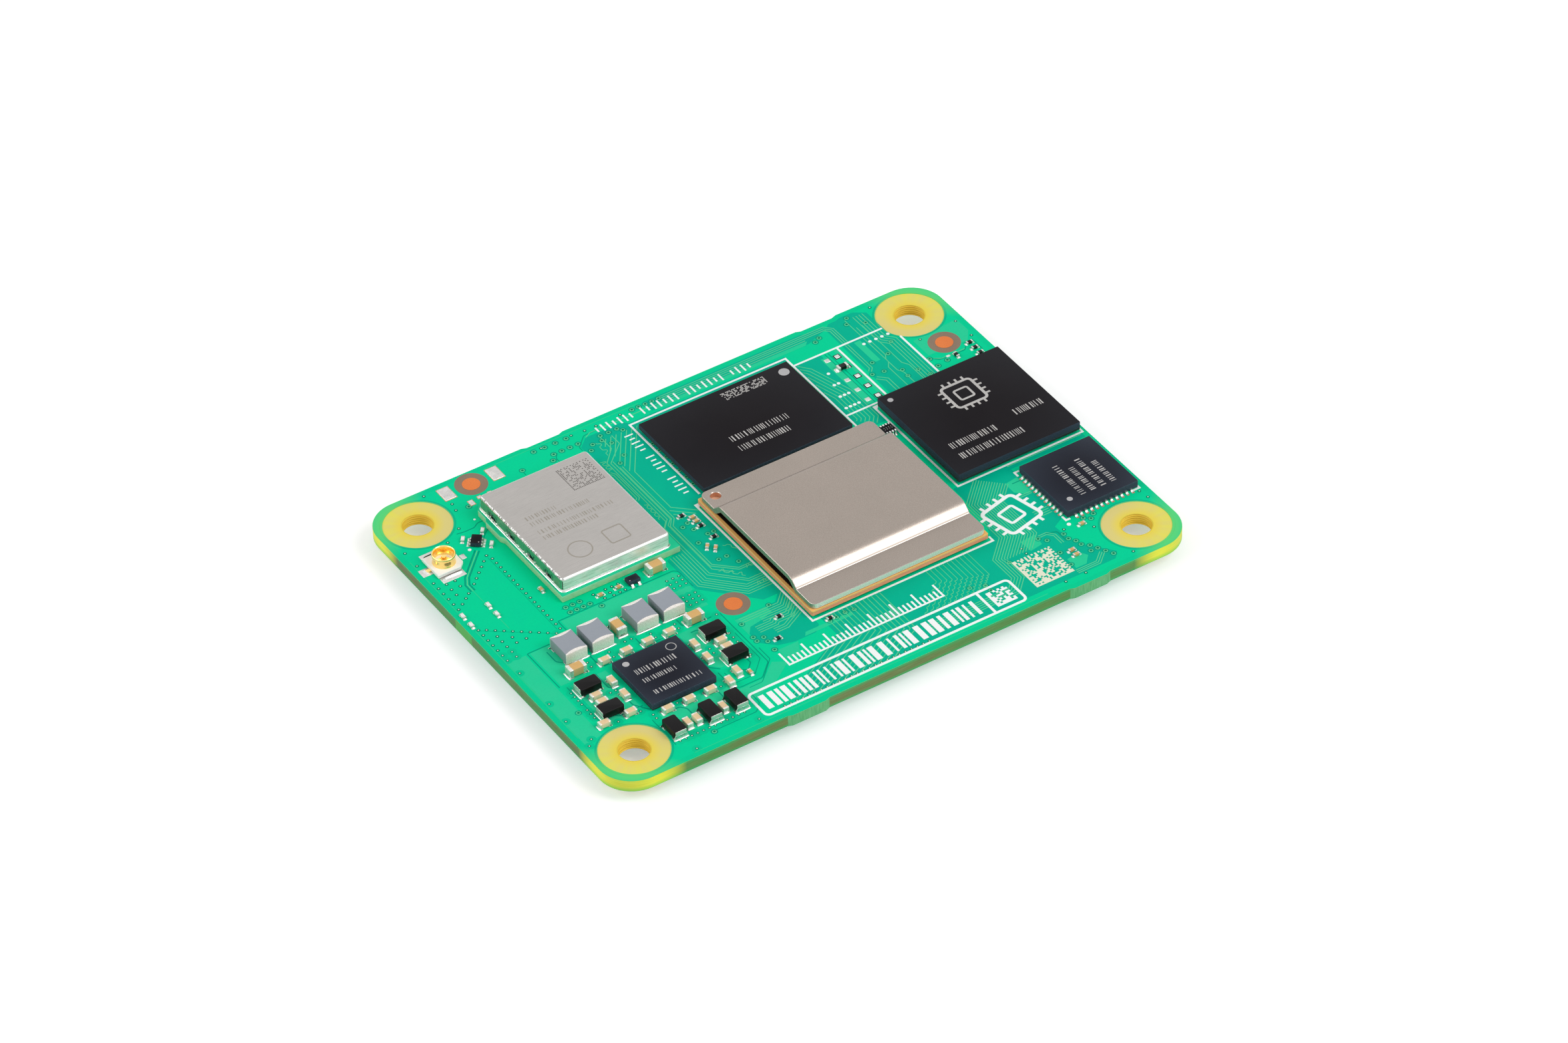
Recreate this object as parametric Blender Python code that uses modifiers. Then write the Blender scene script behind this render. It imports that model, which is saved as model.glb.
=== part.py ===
# System on module: a 55 x 40 mm circuit board with its chips, shielded radio, power
# parts and coaxial socket on top, and two board-to-board plugs underneath.
# The origin is under the board's centre, level with the plugs' mating faces.
# X runs along the long side and Y towards the antenna's end of the short side.

import math

import bmesh
import bpy
from mathutils import Matrix, Vector

MM = 0.001

# Clearance between a piece and what it is soldered or glued to
SEAT = 0.02 * MM

# Circuit board
BOARD_LENGTH = 55.0 * MM
BOARD_WIDTH = 40.0 * MM
BOARD_THICKNESS = 1.1 * MM
CORNER_RADIUS = 3.0 * MM
CORNER_STEPS = 8
HOLE_INSET = 3.5 * MM
HOLE_DIAMETER = 2.7 * MM
HOLE_STEPS = 24
RING_DIAMETER = 5.8 * MM
RING_STEP = 0.03 * MM
RING_STEPS = 32
TAB_STEP = 0.17 * MM
TAB_LENGTH = 4.0 * MM
TAB_SLOPE = 0.45 * MM
FRONT_TABS = (-10.0 * MM, 17.0 * MM)
BACK_TABS = (-10.05 * MM, 16.85 * MM)

# Board-to-board plugs on the underside
PLUG_LENGTH = 22.6 * MM
PLUG_WIDTH = 2.5 * MM
PLUG_HEIGHT = 1.1 * MM
PLUG_CORNER = 0.15 * MM
PLUG_SLOT_LENGTH = 20.6 * MM
PLUG_SLOT_WIDTH = 0.9 * MM
PLUG_SLOT_DEPTH = 0.75 * MM
CONTACTS_PER_SIDE = 50
CONTACT_PITCH = 0.4 * MM
CONTACT_WIDTH = 0.18 * MM
CONTACT_REACH = 0.4 * MM
CONTACT_THICKNESS = 0.15 * MM

# Processor
PROCESSOR_X = 4.52 * MM
PROCESSOR_Y = -2.87 * MM
SUBSTRATE_SIDE = 17.0 * MM
SUBSTRATE_THICKNESS = 0.5 * MM
SUBSTRATE_STANDOFF = 0.22 * MM
DIE_LENGTH = 9.2 * MM
DIE_WIDTH = 7.6 * MM
LID_MARGIN_X = 0.12 * MM
LID_MARGIN_Y = 0.08 * MM
LID_SHEET = 0.5 * MM
LID_RISE = 0.75 * MM
LID_BACK_FLANGE = 2.3 * MM
LID_FRONT_FLANGE = 2.5 * MM
LID_SLOPE_RUN = 0.85 * MM
LID_BEND_RADIUS = 0.45 * MM
LID_CORNER_RADIUS = 0.55 * MM
LID_HOLE_DIAMETER = 0.9 * MM
LID_HOLE_INSET = 0.92 * MM
LID_HOLE_STEPS = 16

# Ball-grid packages
BALL_PITCH = 1.0 * MM
BALL_DIAMETER = 0.4 * MM
BALL_STEPS = 6
BALL_EDGE = 0.55 * MM
CHIP_EDGE = 0.06 * MM
MEMORY_LENGTH = 14.5 * MM
MEMORY_WIDTH = 10.0 * MM
MEMORY_THICKNESS = 0.52 * MM
MEMORY_STANDOFF = 0.26 * MM
MEMORY_SHIFT_X = -0.14 * MM
MEMORY_GAP = 0.76 * MM
IO_SIDE = 12.0 * MM
IO_THICKNESS = 0.85 * MM
IO_STANDOFF = 0.25 * MM
IO_GAP = 1.94 * MM
IO_SHIFT_Y = 4.6 * MM

# Ethernet package with soldered terminals
ETHERNET_SIDE = 6.95 * MM
ETHERNET_THICKNESS = 0.7 * MM
ETHERNET_GAP = 1.5 * MM
ETHERNET_INSET = 0.15 * MM
TERMINALS_PER_SIDE = 12
TERMINAL_PITCH = 0.5 * MM
TERMINAL_WIDTH = 0.26 * MM
TERMINAL_REACH = 0.5 * MM
TERMINAL_THICKNESS = 0.16 * MM

# Wireless module
RADIO_LEFT = -19.4 * MM
RADIO_FRONT = 1.57 * MM
RADIO_LENGTH = 11.15 * MM
RADIO_WIDTH = 13.93 * MM
RADIO_THICKNESS = 0.66 * MM
RADIO_CHAMFER = 0.35 * MM
SHIELD_MARGIN_LEFT = 0.25 * MM
SHIELD_MARGIN_RIGHT = 0.65 * MM
SHIELD_MARGIN_FRONT = 0.4 * MM
SHIELD_MARGIN_BACK = 0.7 * MM
SHIELD_HEIGHT = 1.32 * MM
SHIELD_SHEET = 0.15 * MM
SHIELD_CORNER = 0.4 * MM
SHIELD_FOLD = 0.16 * MM
SHIELD_GATES = 4
SHIELD_GATE_LENGTH = 0.9 * MM
SHIELD_GATE_HEIGHT = 0.4 * MM
SHIELD_GATE_PITCH = 2.9 * MM
RADIO_CHIP_SIDE = 5.2 * MM
RADIO_CHIP_THICKNESS = 0.75 * MM
CRYSTAL_LENGTH = 2.0 * MM
CRYSTAL_WIDTH = 1.6 * MM
CRYSTAL_THICKNESS = 0.5 * MM
CRYSTAL_GAP = 0.8 * MM

# Power section
POWER_CHIP_SIDE = 6.0 * MM
POWER_CHIP_THICKNESS = 0.7 * MM
POWER_X = -17.43 * MM
POWER_Y = -10.53 * MM
SIDE_GROUP_SHIFT = 0.39 * MM
SIDE_CAPACITOR_GAP = 0.6 * MM
SIDE_INDUCTOR_GAP = 0.69 * MM
PAIR_GAP = 0.35 * MM
COLUMN_SHIFT = 0.63 * MM
COLUMN_GAP = 0.9 * MM
BACK_ROW_GAP = 0.76 * MM
BACK_ROW_PITCH = 2.03 * MM
FRONT_ROW_GAP = 0.4 * MM
FRONT_ROW_PITCH = 1.98 * MM
LARGE_ROW_GAP = 1.13 * MM
LARGE_ROW_SHIFT = -0.12 * MM
LARGE_PAIR_GAP = 0.48 * MM
LARGE_MIDDLE_GAP = 0.68 * MM
FLANK_CAPACITOR_X = 5.53 * MM
FLANK_CAPACITOR_Y = 4.3 * MM
FRONT_CHAIN_GAP = 0.34 * MM
FRONT_CHAIN_ROW_GAP = 1.02 * MM
FRONT_CHAIN_OVERHANG = 0.42 * MM
LOWER_PAIR_SPREAD = 2.45 * MM
CORNER_CAPACITOR_FAR = 1.93 * MM
CORNER_CAPACITOR_NEAR = 0.8 * MM
CORNER_CAPACITOR_DROP = 0.7 * MM
RADIO_CAPACITOR_X = -11.15 * MM
RADIO_CAPACITOR_GAP = 0.4 * MM

# Chip components: length, width, height, metal end, and the end's step above the body
SMALL_CAPACITOR = (1.0 * MM, 0.55 * MM, 0.5 * MM, 0.27 * MM)
LARGE_CAPACITOR = (1.6 * MM, 0.85 * MM, 0.8 * MM, 0.36 * MM)
POWER_INDUCTOR = (2.0 * MM, 1.2 * MM, 0.8 * MM, 0.3 * MM)
LARGE_INDUCTOR = (2.55 * MM, 2.0 * MM, 1.1 * MM, 0.5 * MM)
OPTION_RESISTOR = (1.0 * MM, 0.5 * MM, 0.35 * MM, 0.24 * MM)
TINY_PART = (0.6 * MM, 0.3 * MM, 0.26 * MM)
END_STEP = 0.02 * MM
END_ROUND = 0.05 * MM

# Decoupling capacitors on the underside, below the processor
UNDERSIDE_COLUMNS = 5
UNDERSIDE_ROWS = 4
UNDERSIDE_PITCH_X = 2.4 * MM
UNDERSIDE_PITCH_Y = 2.8 * MM

# Tinned test pads at the back edge
TEST_PAD_LENGTH = 1.7 * MM
TEST_PAD_WIDTH = 1.2 * MM
TEST_PAD_BACK_INSET = 1.47 * MM
TEST_PAD_END_INSETS = (7.45 * MM, 12.05 * MM)

# Tiny parts near the screw holes and the antenna feed, measured from the board's ends
FEED_INSETS = (0.6 * MM, 3.0 * MM)
PAD_RESISTOR_INSET = 8.5 * MM
FILTER_INSET = 1.5 * MM
DECOUPLER_INSET = 3.3 * MM
LINK_RESISTOR_INSET = 7.15 * MM
LINK_PAIR_INSET = 9.7 * MM

# Coaxial antenna socket
SOCKET_X = -24.8 * MM
SOCKET_Y = 11.0 * MM
SOCKET_BASE = 2.6 * MM
SOCKET_BASE_HEIGHT = 0.36 * MM
SOCKET_CHAMFER = 0.5 * MM
SOCKET_EAR_LENGTH = 1.9 * MM
SOCKET_EAR_REACH = 0.7 * MM
SOCKET_EAR_HEIGHT = 0.15 * MM
SOCKET_SIGNAL_WIDTH = 0.8 * MM
SOCKET_SIGNAL_REACH = 0.6 * MM
SOCKET_DIAMETER = 2.0 * MM
SOCKET_HEIGHT = 1.25 * MM
SOCKET_WALL = 0.12 * MM
SOCKET_GROOVE = 0.07 * MM
SOCKET_PIN_DIAMETER = 0.5 * MM
SOCKET_PIN_HEIGHT = 0.95 * MM
SOCKET_STEPS = 24

# Small leaded chips
ANTENNA_SWITCH_X = -21.25 * MM
ANTENNA_SWITCH_Y = 11.85 * MM
ANTENNA_SWITCH_LENGTH = 1.15 * MM
ANTENNA_SWITCH_WIDTH = 0.85 * MM
ANTENNA_SWITCH_TURN = math.radians(52)
SUPPLY_SWITCH_GAP = 0.62 * MM
SUPPLY_SWITCH_X = -13.4 * MM
SUPPLY_SWITCH_LENGTH = 1.1 * MM
SUPPLY_SWITCH_WIDTH = 0.75 * MM
SMALL_CHIP_HEIGHT = 0.45 * MM
LEAD_WIDTH = 0.2 * MM
LEAD_REACH = 0.2 * MM
LEAD_THICKNESS = 0.12 * MM
ARRAY_LENGTH = 1.2 * MM
ARRAY_WIDTH = 0.65 * MM
ARRAY_HEIGHT = 0.4 * MM
ARRAY_Y = 4.7 * MM

# Option column beside the memory
OPTION_X = 15.45 * MM
OPTION_PITCH_Y = 1.53 * MM
OPTION_TOP_Y = 15.27 * MM
OPTION_ROWS = 5
OPTION_FITTED_ROW = 1
OPTION_PAD_SIDE = 0.45 * MM
OPTION_PAD_SPREAD = 1.0 * MM
PAD_HEIGHT = 0.05 * MM

# How deep a fused piece is sunk into its carrier
ROOT = 0.1 * MM

BOARD_BOTTOM = PLUG_HEIGHT + SEAT
BOARD_TOP = BOARD_BOTTOM + BOARD_THICKNESS
DECK = BOARD_TOP + SEAT
HOLE_X = BOARD_LENGTH / 2 - HOLE_INSET
HOLE_Y = BOARD_WIDTH / 2 - HOLE_INSET

# Finishes: colour, roughness, metallic
FINISHES = {
    "green_laminate": ((0.01, 0.52, 0.28), 0.35, 0.0),
    "brown_laminate": ((0.45, 0.27, 0.12), 0.55, 0.0),
    "black_package": ((0.02, 0.018, 0.02), 0.6, 0.0),
    "slate_package": ((0.03, 0.035, 0.045), 0.55, 0.0),
    "nickel_sheet": ((0.36, 0.32, 0.29), 0.33, 1.0),
    "steel_sheet": ((0.46, 0.44, 0.42), 0.35, 1.0),
    "silicon": ((0.12, 0.12, 0.14), 0.2, 0.2),
    "grey_ferrite": ((0.3, 0.33, 0.38), 0.5, 0.0),
    "black_ferrite": ((0.012, 0.012, 0.012), 0.5, 0.0),
    "tan_ceramic": ((0.62, 0.42, 0.18), 0.5, 0.0),
    "pale_ceramic": ((0.65, 0.5, 0.33), 0.5, 0.0),
    "white_plastic": ((0.75, 0.74, 0.7), 0.5, 0.0),
    "dark_plastic": ((0.05, 0.05, 0.05), 0.5, 0.0),
    "gold_plate": ((0.9, 0.6, 0.2), 0.25, 1.0),
}


def clear_scene():
    for obj in list(bpy.data.objects):
        bpy.data.objects.remove(obj, do_unlink=True)


def new_collection(name):
    made = bpy.data.collections.new(name)
    bpy.context.scene.collection.children.link(made)
    return made


def finish_material(finish):
    material = bpy.data.materials.get(finish)
    if material is None:
        color, roughness, metallic = FINISHES[finish]
        material = bpy.data.materials.new(finish)
        material.use_nodes = True
        shader = material.node_tree.nodes["Principled BSDF"]
        shader.inputs["Base Color"].default_value = (*color, 1.0)
        shader.inputs["Roughness"].default_value = roughness
        shader.inputs["Metallic"].default_value = metallic
    return material


def lift(mesh, z):
    mesh.transform(Matrix.Translation((0, 0, z)))


def mesh_from(bm, name):
    bmesh.ops.recalc_face_normals(bm, faces=bm.faces)
    mesh = bpy.data.meshes.new(name)
    bm.to_mesh(mesh)
    bm.free()
    return mesh


def piece(name, mesh, finish, location=(0, 0, 0), turn=0.0):
    if not mesh.materials:
        mesh.materials.append(finish_material(finish))
    obj = bpy.data.objects.new(name, mesh)
    obj.location = location
    obj.rotation_euler.z = turn
    module.objects.link(obj)
    return obj


def helper(name, mesh, location=(0, 0, 0), turn=0.0):
    obj = bpy.data.objects.new(name, mesh)
    obj.location = location
    obj.rotation_euler.z = turn
    obj.hide_render = True
    obj.display_type = "WIRE"
    cutters.objects.link(obj)
    return obj


def join_or_cut(obj, other, operation, solver="EXACT"):
    modifier = obj.modifiers.new(other.name, "BOOLEAN")
    modifier.operation = operation
    modifier.solver = solver
    modifier.object = other


def add_box(bm, low, high):
    verts = bmesh.ops.create_cube(bm, size=1.0)["verts"]
    low, high = Vector(low), Vector(high)
    bmesh.ops.scale(bm, vec=high - low, verts=verts)
    bmesh.ops.translate(bm, vec=(low + high) / 2, verts=verts)
    return verts


def add_block(bm, x, y, length, width, low, high):
    return add_box(bm, (x - length / 2, y - width / 2, low), (x + length / 2, y + width / 2, high))


def bevel(bm, edges, width, segments=1):
    bmesh.ops.bevel(
        bm,
        geom=list(edges),
        offset=width,
        offset_type="OFFSET",
        segments=segments,
        profile=0.5,
        affect="EDGES",
        clamp_overlap=True,
    )


def upright_edges(bm):
    return [e for e in bm.edges if abs(e.verts[0].co.z - e.verts[1].co.z) > e.calc_length() * 0.9]


def level_edges(bm, z):
    return [e for e in bm.edges if all(abs(v.co.z - z) < SEAT / 4 for v in e.verts)]


def block_mesh(name, length, width, height, corner=0.0, edge=0.0):
    # A block on the plane z = 0, with rounded uprights and a broken top edge
    bm = bmesh.new()
    add_block(bm, 0, 0, length, width, 0, height)
    if corner:
        bevel(bm, upright_edges(bm), corner, 2)
    if edge:
        bevel(bm, level_edges(bm, height), edge)
    return mesh_from(bm, name)


def mesh_from_curve(curve, name):
    # The filled and extruded outline as a mesh whose caps are welded to its sides
    drawn = bpy.data.objects.new(name + "_outline", curve)
    cutters.objects.link(drawn)
    bpy.context.view_layer.update()
    graph = bpy.context.evaluated_depsgraph_get()
    mesh = bpy.data.meshes.new_from_object(drawn.evaluated_get(graph))
    mesh.name = name
    bpy.data.objects.remove(drawn)
    bm = bmesh.new()
    bm.from_mesh(mesh)
    bmesh.ops.remove_doubles(bm, verts=bm.verts, dist=SEAT / 20)
    bmesh.ops.dissolve_limit(bm, angle_limit=math.radians(1), verts=bm.verts, edges=bm.edges)
    bmesh.ops.recalc_face_normals(bm, faces=bm.faces)
    bm.to_mesh(mesh)
    bm.free()
    mesh.materials.clear()
    return mesh


def flat_curve(name, outline, thickness):
    curve = bpy.data.curves.new(name, "CURVE")
    curve.dimensions = "2D"
    curve.fill_mode = "BOTH"
    curve.extrude = thickness / 2
    spline = curve.splines.new("POLY")
    spline.points.add(len(outline) - 1)
    for point, (x, y) in zip(spline.points, outline):
        point.co = (x, y, 0, 1)
    spline.use_cyclic_u = True
    return curve


def arc(x, y, radius, start, end, steps):
    angles = [start + (end - start) * i / steps for i in range(steps + 1)]
    return [(x + radius * math.cos(a), y + radius * math.sin(a)) for a in angles]


def add_cylinder(bm, x, y, low, high, radius, steps):
    verts = bmesh.ops.create_cone(
        bm, cap_ends=True, segments=steps, radius1=radius, radius2=radius, depth=high - low
    )["verts"]
    bmesh.ops.translate(bm, vec=(x, y, (low + high) / 2), verts=verts)


def tab_step(x, y, direction, depth):
    # Four points of a low step in an edge that runs along X, in the edge's own direction
    half = TAB_LENGTH / 2 * direction
    slope = TAB_SLOPE * direction
    return [(x - half, y), (x - half + slope, y + depth), (x + half - slope, y + depth), (x + half, y)]


def board_outline():
    x = BOARD_LENGTH / 2
    y = BOARD_WIDTH / 2
    r = CORNER_RADIUS
    turn = math.pi / 2
    outline = arc(x - r, y - r, r, 0, turn, CORNER_STEPS)
    for tab_x in sorted(BACK_TABS, reverse=True):
        outline += tab_step(tab_x, y, -1, -TAB_STEP)
    outline += arc(r - x, y - r, r, turn, 2 * turn, CORNER_STEPS)
    outline += arc(r - x, r - y, r, 2 * turn, 3 * turn, CORNER_STEPS)
    for tab_x in sorted(FRONT_TABS):
        outline += tab_step(tab_x, -y, 1, -TAB_STEP)
    outline += arc(x - r, r - y, r, 3 * turn, 4 * turn, CORNER_STEPS)
    return outline


def tiny_part(bm, x, y, turn_deg=0):
    # One of the smallest resistors or capacitors, soldered flat to the board
    length, width, height = TINY_PART
    verts = add_block(bm, 0, 0, length, width, BOARD_TOP - ROOT, BOARD_TOP + height)
    spin = math.radians(turn_deg)
    for vert in verts:
        vx, vy = vert.co.x, vert.co.y
        vert.co.x = x * MM + vx * math.cos(spin) - vy * math.sin(spin)
        vert.co.y = y * MM + vx * math.sin(spin) + vy * math.cos(spin)


def option_rows():
    return [OPTION_TOP_Y - OPTION_PITCH_Y * row for row in range(OPTION_ROWS)]


def soldered_details():
    # Parts too small for a file of their own: positions in millimetres, and the turn
    bm = bmesh.new()
    level = ((-16.45, 0.6), (-14.75, 0.6), (-5.2, 4.55), (-5.2, 3.98), (-5.85, 5.2))
    level += ((-5.2, 3.3), (-5.05, 1.53), (-6.1, -9.7), (-7.6, -11.9), (-2.85, -12.2))
    edge = BOARD_LENGTH / 2 / MM
    level += ((edge - LINK_RESISTOR_INSET / MM, -14.0),)
    level += tuple((edge - LINK_PAIR_INSET / MM, y) for y in (-16.25, -16.9))
    level += tuple((edge - FILTER_INSET / MM, y) for y in (10.5, 9.7, 8.9))
    upright = ((-20.0, 3.85), (-11.6, -14.05), (edge - DECOUPLER_INSET / MM, 9.75))
    upright += ((PAD_RESISTOR_INSET / MM - edge, 16.35),)
    for inset in FEED_INSETS:
        upright += ((inset / MM - edge, 4.6), (inset / MM - edge, 3.3))
    slanted = ((-6.15, 0.8), (-5.7, 0.25), (-22.0, 12.75), (-20.1, 12.8), (-20.35, 10.95))
    for x, y in level:
        tiny_part(bm, x, y)
    for x, y in upright:
        tiny_part(bm, x, y, 90)
    for x, y in slanted:
        tiny_part(bm, x, y, 52)
    low, high = BOARD_TOP - ROOT, BOARD_TOP + PAD_HEIGHT
    for inset in TEST_PAD_END_INSETS:
        x = inset - BOARD_LENGTH / 2
        y = BOARD_WIDTH / 2 - TEST_PAD_BACK_INSET
        add_block(bm, x, y, TEST_PAD_WIDTH, TEST_PAD_LENGTH, low, high)
    for row, y in enumerate(option_rows()):
        if row == OPTION_FITTED_ROW:
            continue
        for side in (-1, 1):
            x = OPTION_X + side * OPTION_PAD_SPREAD / 2
            add_block(bm, x, y, OPTION_PAD_SIDE, OPTION_PAD_SIDE, low, high)
    length, width, height = SMALL_CAPACITOR[:3]
    for column in range(UNDERSIDE_COLUMNS):
        for row in range(UNDERSIDE_ROWS):
            x = PROCESSOR_X + (column - (UNDERSIDE_COLUMNS - 1) / 2) * UNDERSIDE_PITCH_X
            y = PROCESSOR_Y + (row - (UNDERSIDE_ROWS - 1) / 2) * UNDERSIDE_PITCH_Y
            add_block(bm, x, y, length, width, BOARD_BOTTOM - height, BOARD_BOTTOM + ROOT)
    return mesh_from(bm, "soldered_details")


def four_cylinders(name, radius, steps, low, high):
    # One at each screw hole
    bm = bmesh.new()
    for x in (-HOLE_X, HOLE_X):
        for y in (-HOLE_Y, HOLE_Y):
            add_cylinder(bm, x, y, low, high, radius, steps)
    return mesh_from(bm, name)


def build_circuit_board():
    curve = flat_curve("circuit_board", board_outline(), BOARD_THICKNESS)
    mesh = mesh_from_curve(curve, "circuit_board")
    lift(mesh, BOARD_BOTTOM + BOARD_THICKNESS / 2)
    board = piece("circuit_board", mesh, "green_laminate")
    # The exact solver opens the front edge, whose corners and tabs lie in one line
    for name, radius, steps, low, high in (
        ("screw_holes", HOLE_DIAMETER / 2, HOLE_STEPS, BOARD_BOTTOM - ROOT, BOARD_TOP + ROOT),
        ("bare_rings_top", RING_DIAMETER / 2, RING_STEPS, BOARD_TOP - RING_STEP, BOARD_TOP + ROOT),
        ("bare_rings_bottom", RING_DIAMETER / 2, RING_STEPS, BOARD_BOTTOM - ROOT, BOARD_BOTTOM + RING_STEP),
    ):
        cutters = helper(name, four_cylinders(name, radius, steps, low, high))
        join_or_cut(board, cutters, "DIFFERENCE", "MANIFOLD")
    join_or_cut(board, helper("soldered_details", soldered_details()), "UNION", "MANIFOLD")


def contact_comb(count, pitch, width, thickness, inner, outer, low):
    # Two facing rows of flat contacts along X, from inner to outer on either side
    bm = bmesh.new()
    for index in range(count):
        x = (index - (count - 1) / 2) * pitch
        for side in (-1, 1):
            middle = side * (inner + outer) / 2
            add_block(bm, x, middle, width, outer - inner, low, low + thickness)
    return bm


def build_plug(name, y):
    body = block_mesh(name, PLUG_LENGTH, PLUG_WIDTH, PLUG_HEIGHT, corner=PLUG_CORNER)
    plug = piece(name, body, "dark_plastic", (0, y, 0))
    bm = contact_comb(
        CONTACTS_PER_SIDE,
        CONTACT_PITCH,
        CONTACT_WIDTH,
        CONTACT_THICKNESS,
        PLUG_WIDTH / 2 - ROOT,
        PLUG_WIDTH / 2 + CONTACT_REACH,
        PLUG_HEIGHT - CONTACT_THICKNESS - SEAT,
    )
    comb = helper(name + "_contacts", mesh_from(bm, name + "_contacts"), (0, y, 0))
    join_or_cut(plug, comb, "UNION")
    bm = bmesh.new()
    add_block(bm, 0, 0, PLUG_SLOT_LENGTH, PLUG_SLOT_WIDTH, -ROOT, PLUG_SLOT_DEPTH)
    slot = helper(name + "_slot", mesh_from(bm, name + "_slot"), (0, y, 0))
    join_or_cut(plug, slot, "DIFFERENCE")


def ball_positions(length, width):
    # The outer ring of the ball grid, in the package's own frame
    across = int((length - 2 * BALL_EDGE) / BALL_PITCH)
    along = int((width - 2 * BALL_EDGE) / BALL_PITCH)
    for i in range(across + 1):
        for j in range(along + 1):
            if i in (0, across) or j in (0, along):
                yield (i - across / 2) * BALL_PITCH, (j - along / 2) * BALL_PITCH


def solder_balls(name, length, width, standoff):
    bm = bmesh.new()
    for x, y in ball_positions(length, width):
        add_cylinder(bm, x, y, SEAT, standoff + ROOT, BALL_DIAMETER / 2, BALL_STEPS)
    return mesh_from(bm, name)


def build_ball_grid_chip(name, finish, x, y, length, width, standoff, thickness, edge):
    mesh = block_mesh(name, length, width, thickness, edge=edge)
    lift(mesh, standoff)
    chip = piece(name, mesh, finish, (x, y, BOARD_TOP))
    balls = solder_balls(name + "_balls", length, width, standoff)
    join_or_cut(chip, helper(name + "_balls", balls, (x, y, BOARD_TOP)), "UNION")


def build_processor():
    build_ball_grid_chip(
        "processor_substrate",
        "brown_laminate",
        PROCESSOR_X,
        PROCESSOR_Y,
        SUBSTRATE_SIDE,
        SUBSTRATE_SIDE,
        SUBSTRATE_STANDOFF,
        SUBSTRATE_THICKNESS,
        0.0,
    )
    substrate_top = BOARD_TOP + SUBSTRATE_STANDOFF + SUBSTRATE_THICKNESS
    die_height = LID_RISE - 2 * SEAT
    die = block_mesh("processor_die", DIE_LENGTH, DIE_WIDTH, die_height)
    lid_top_middle = (LID_FRONT_FLANGE - LID_BACK_FLANGE) / 2
    piece(
        "processor_die", die, "silicon", (PROCESSOR_X, PROCESSOR_Y + lid_top_middle, substrate_top + SEAT)
    )
    build_lid(substrate_top + SEAT)


def lid_profile(rest):
    # Outer face of the strip seen from the side, from the back edge to the front edge
    back = PROCESSOR_Y + SUBSTRATE_SIDE / 2 - LID_MARGIN_Y
    front = PROCESSOR_Y - SUBSTRATE_SIDE / 2 + LID_MARGIN_Y
    flange = rest + LID_SHEET
    raised = flange + LID_RISE
    back_bend = back - LID_BACK_FLANGE
    front_bend = front + LID_FRONT_FLANGE
    return (
        (back, flange),
        (back_bend, flange),
        (back_bend - LID_SLOPE_RUN, raised),
        (front_bend + LID_SLOPE_RUN, raised),
        (front_bend, flange),
        (front, flange),
    )


def build_lid(rest):
    profile = lid_profile(rest)
    half = SUBSTRATE_SIDE / 2 - LID_MARGIN_X
    bm = bmesh.new()
    verts = [bm.verts.new((PROCESSOR_X - half, y, z)) for y, z in profile]
    edges = [bm.edges.new(pair) for pair in zip(verts, verts[1:])]
    swept = bmesh.ops.extrude_edge_only(bm, edges=edges)["geom"]
    moved = [item for item in swept if isinstance(item, bmesh.types.BMVert)]
    bmesh.ops.translate(bm, vec=(2 * half, 0, 0), verts=moved)
    bm.normal_update()
    if bm.faces[:][0].normal.z < 0:
        bmesh.ops.reverse_faces(bm, faces=bm.faces)
    bends = [e for e in bm.edges if len(e.link_faces) == 2]
    bevel(bm, bends, LID_BEND_RADIUS, 3)
    ends = (profile[0][0], profile[-1][0])
    corners = [
        v for v in bm.verts if len(v.link_edges) == 2 and min(abs(v.co.y - y) for y in ends) < SEAT
    ]
    bmesh.ops.bevel(
        bm,
        geom=corners,
        offset=LID_CORNER_RADIUS,
        segments=4,
        profile=0.5,
        affect="VERTICES",
    )
    mesh = bpy.data.meshes.new("processor_lid")
    bm.to_mesh(mesh)
    bm.free()
    lid = piece("processor_lid", mesh, "nickel_sheet")
    sheet = lid.modifiers.new("sheet", "SOLIDIFY")
    sheet.thickness = LID_SHEET
    sheet.offset = -1.0
    sheet.use_even_offset = True
    bm = bmesh.new()
    add_cylinder(
        bm,
        PROCESSOR_X - half + LID_HOLE_INSET,
        ends[0] - LID_HOLE_INSET,
        rest - LID_SHEET,
        rest + 2 * LID_SHEET,
        LID_HOLE_DIAMETER / 2,
        LID_HOLE_STEPS,
    )
    join_or_cut(lid, helper("processor_lid_hole", mesh_from(bm, "processor_lid_hole")), "DIFFERENCE")


def processor_edge(side):
    return PROCESSOR_X + side * SUBSTRATE_SIDE / 2


def io_place():
    return processor_edge(1) + IO_GAP + IO_SIDE / 2, PROCESSOR_Y + IO_SHIFT_Y


def build_memory_and_io():
    memory_y = PROCESSOR_Y + SUBSTRATE_SIDE / 2 + MEMORY_GAP + MEMORY_WIDTH / 2
    build_ball_grid_chip(
        "memory_chip",
        "black_package",
        PROCESSOR_X + MEMORY_SHIFT_X,
        memory_y,
        MEMORY_LENGTH,
        MEMORY_WIDTH,
        MEMORY_STANDOFF,
        MEMORY_THICKNESS,
        CHIP_EDGE,
    )
    x, y = io_place()
    build_ball_grid_chip(
        "io_chip", "black_package", x, y, IO_SIDE, IO_SIDE, IO_STANDOFF, IO_THICKNESS, CHIP_EDGE
    )


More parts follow.
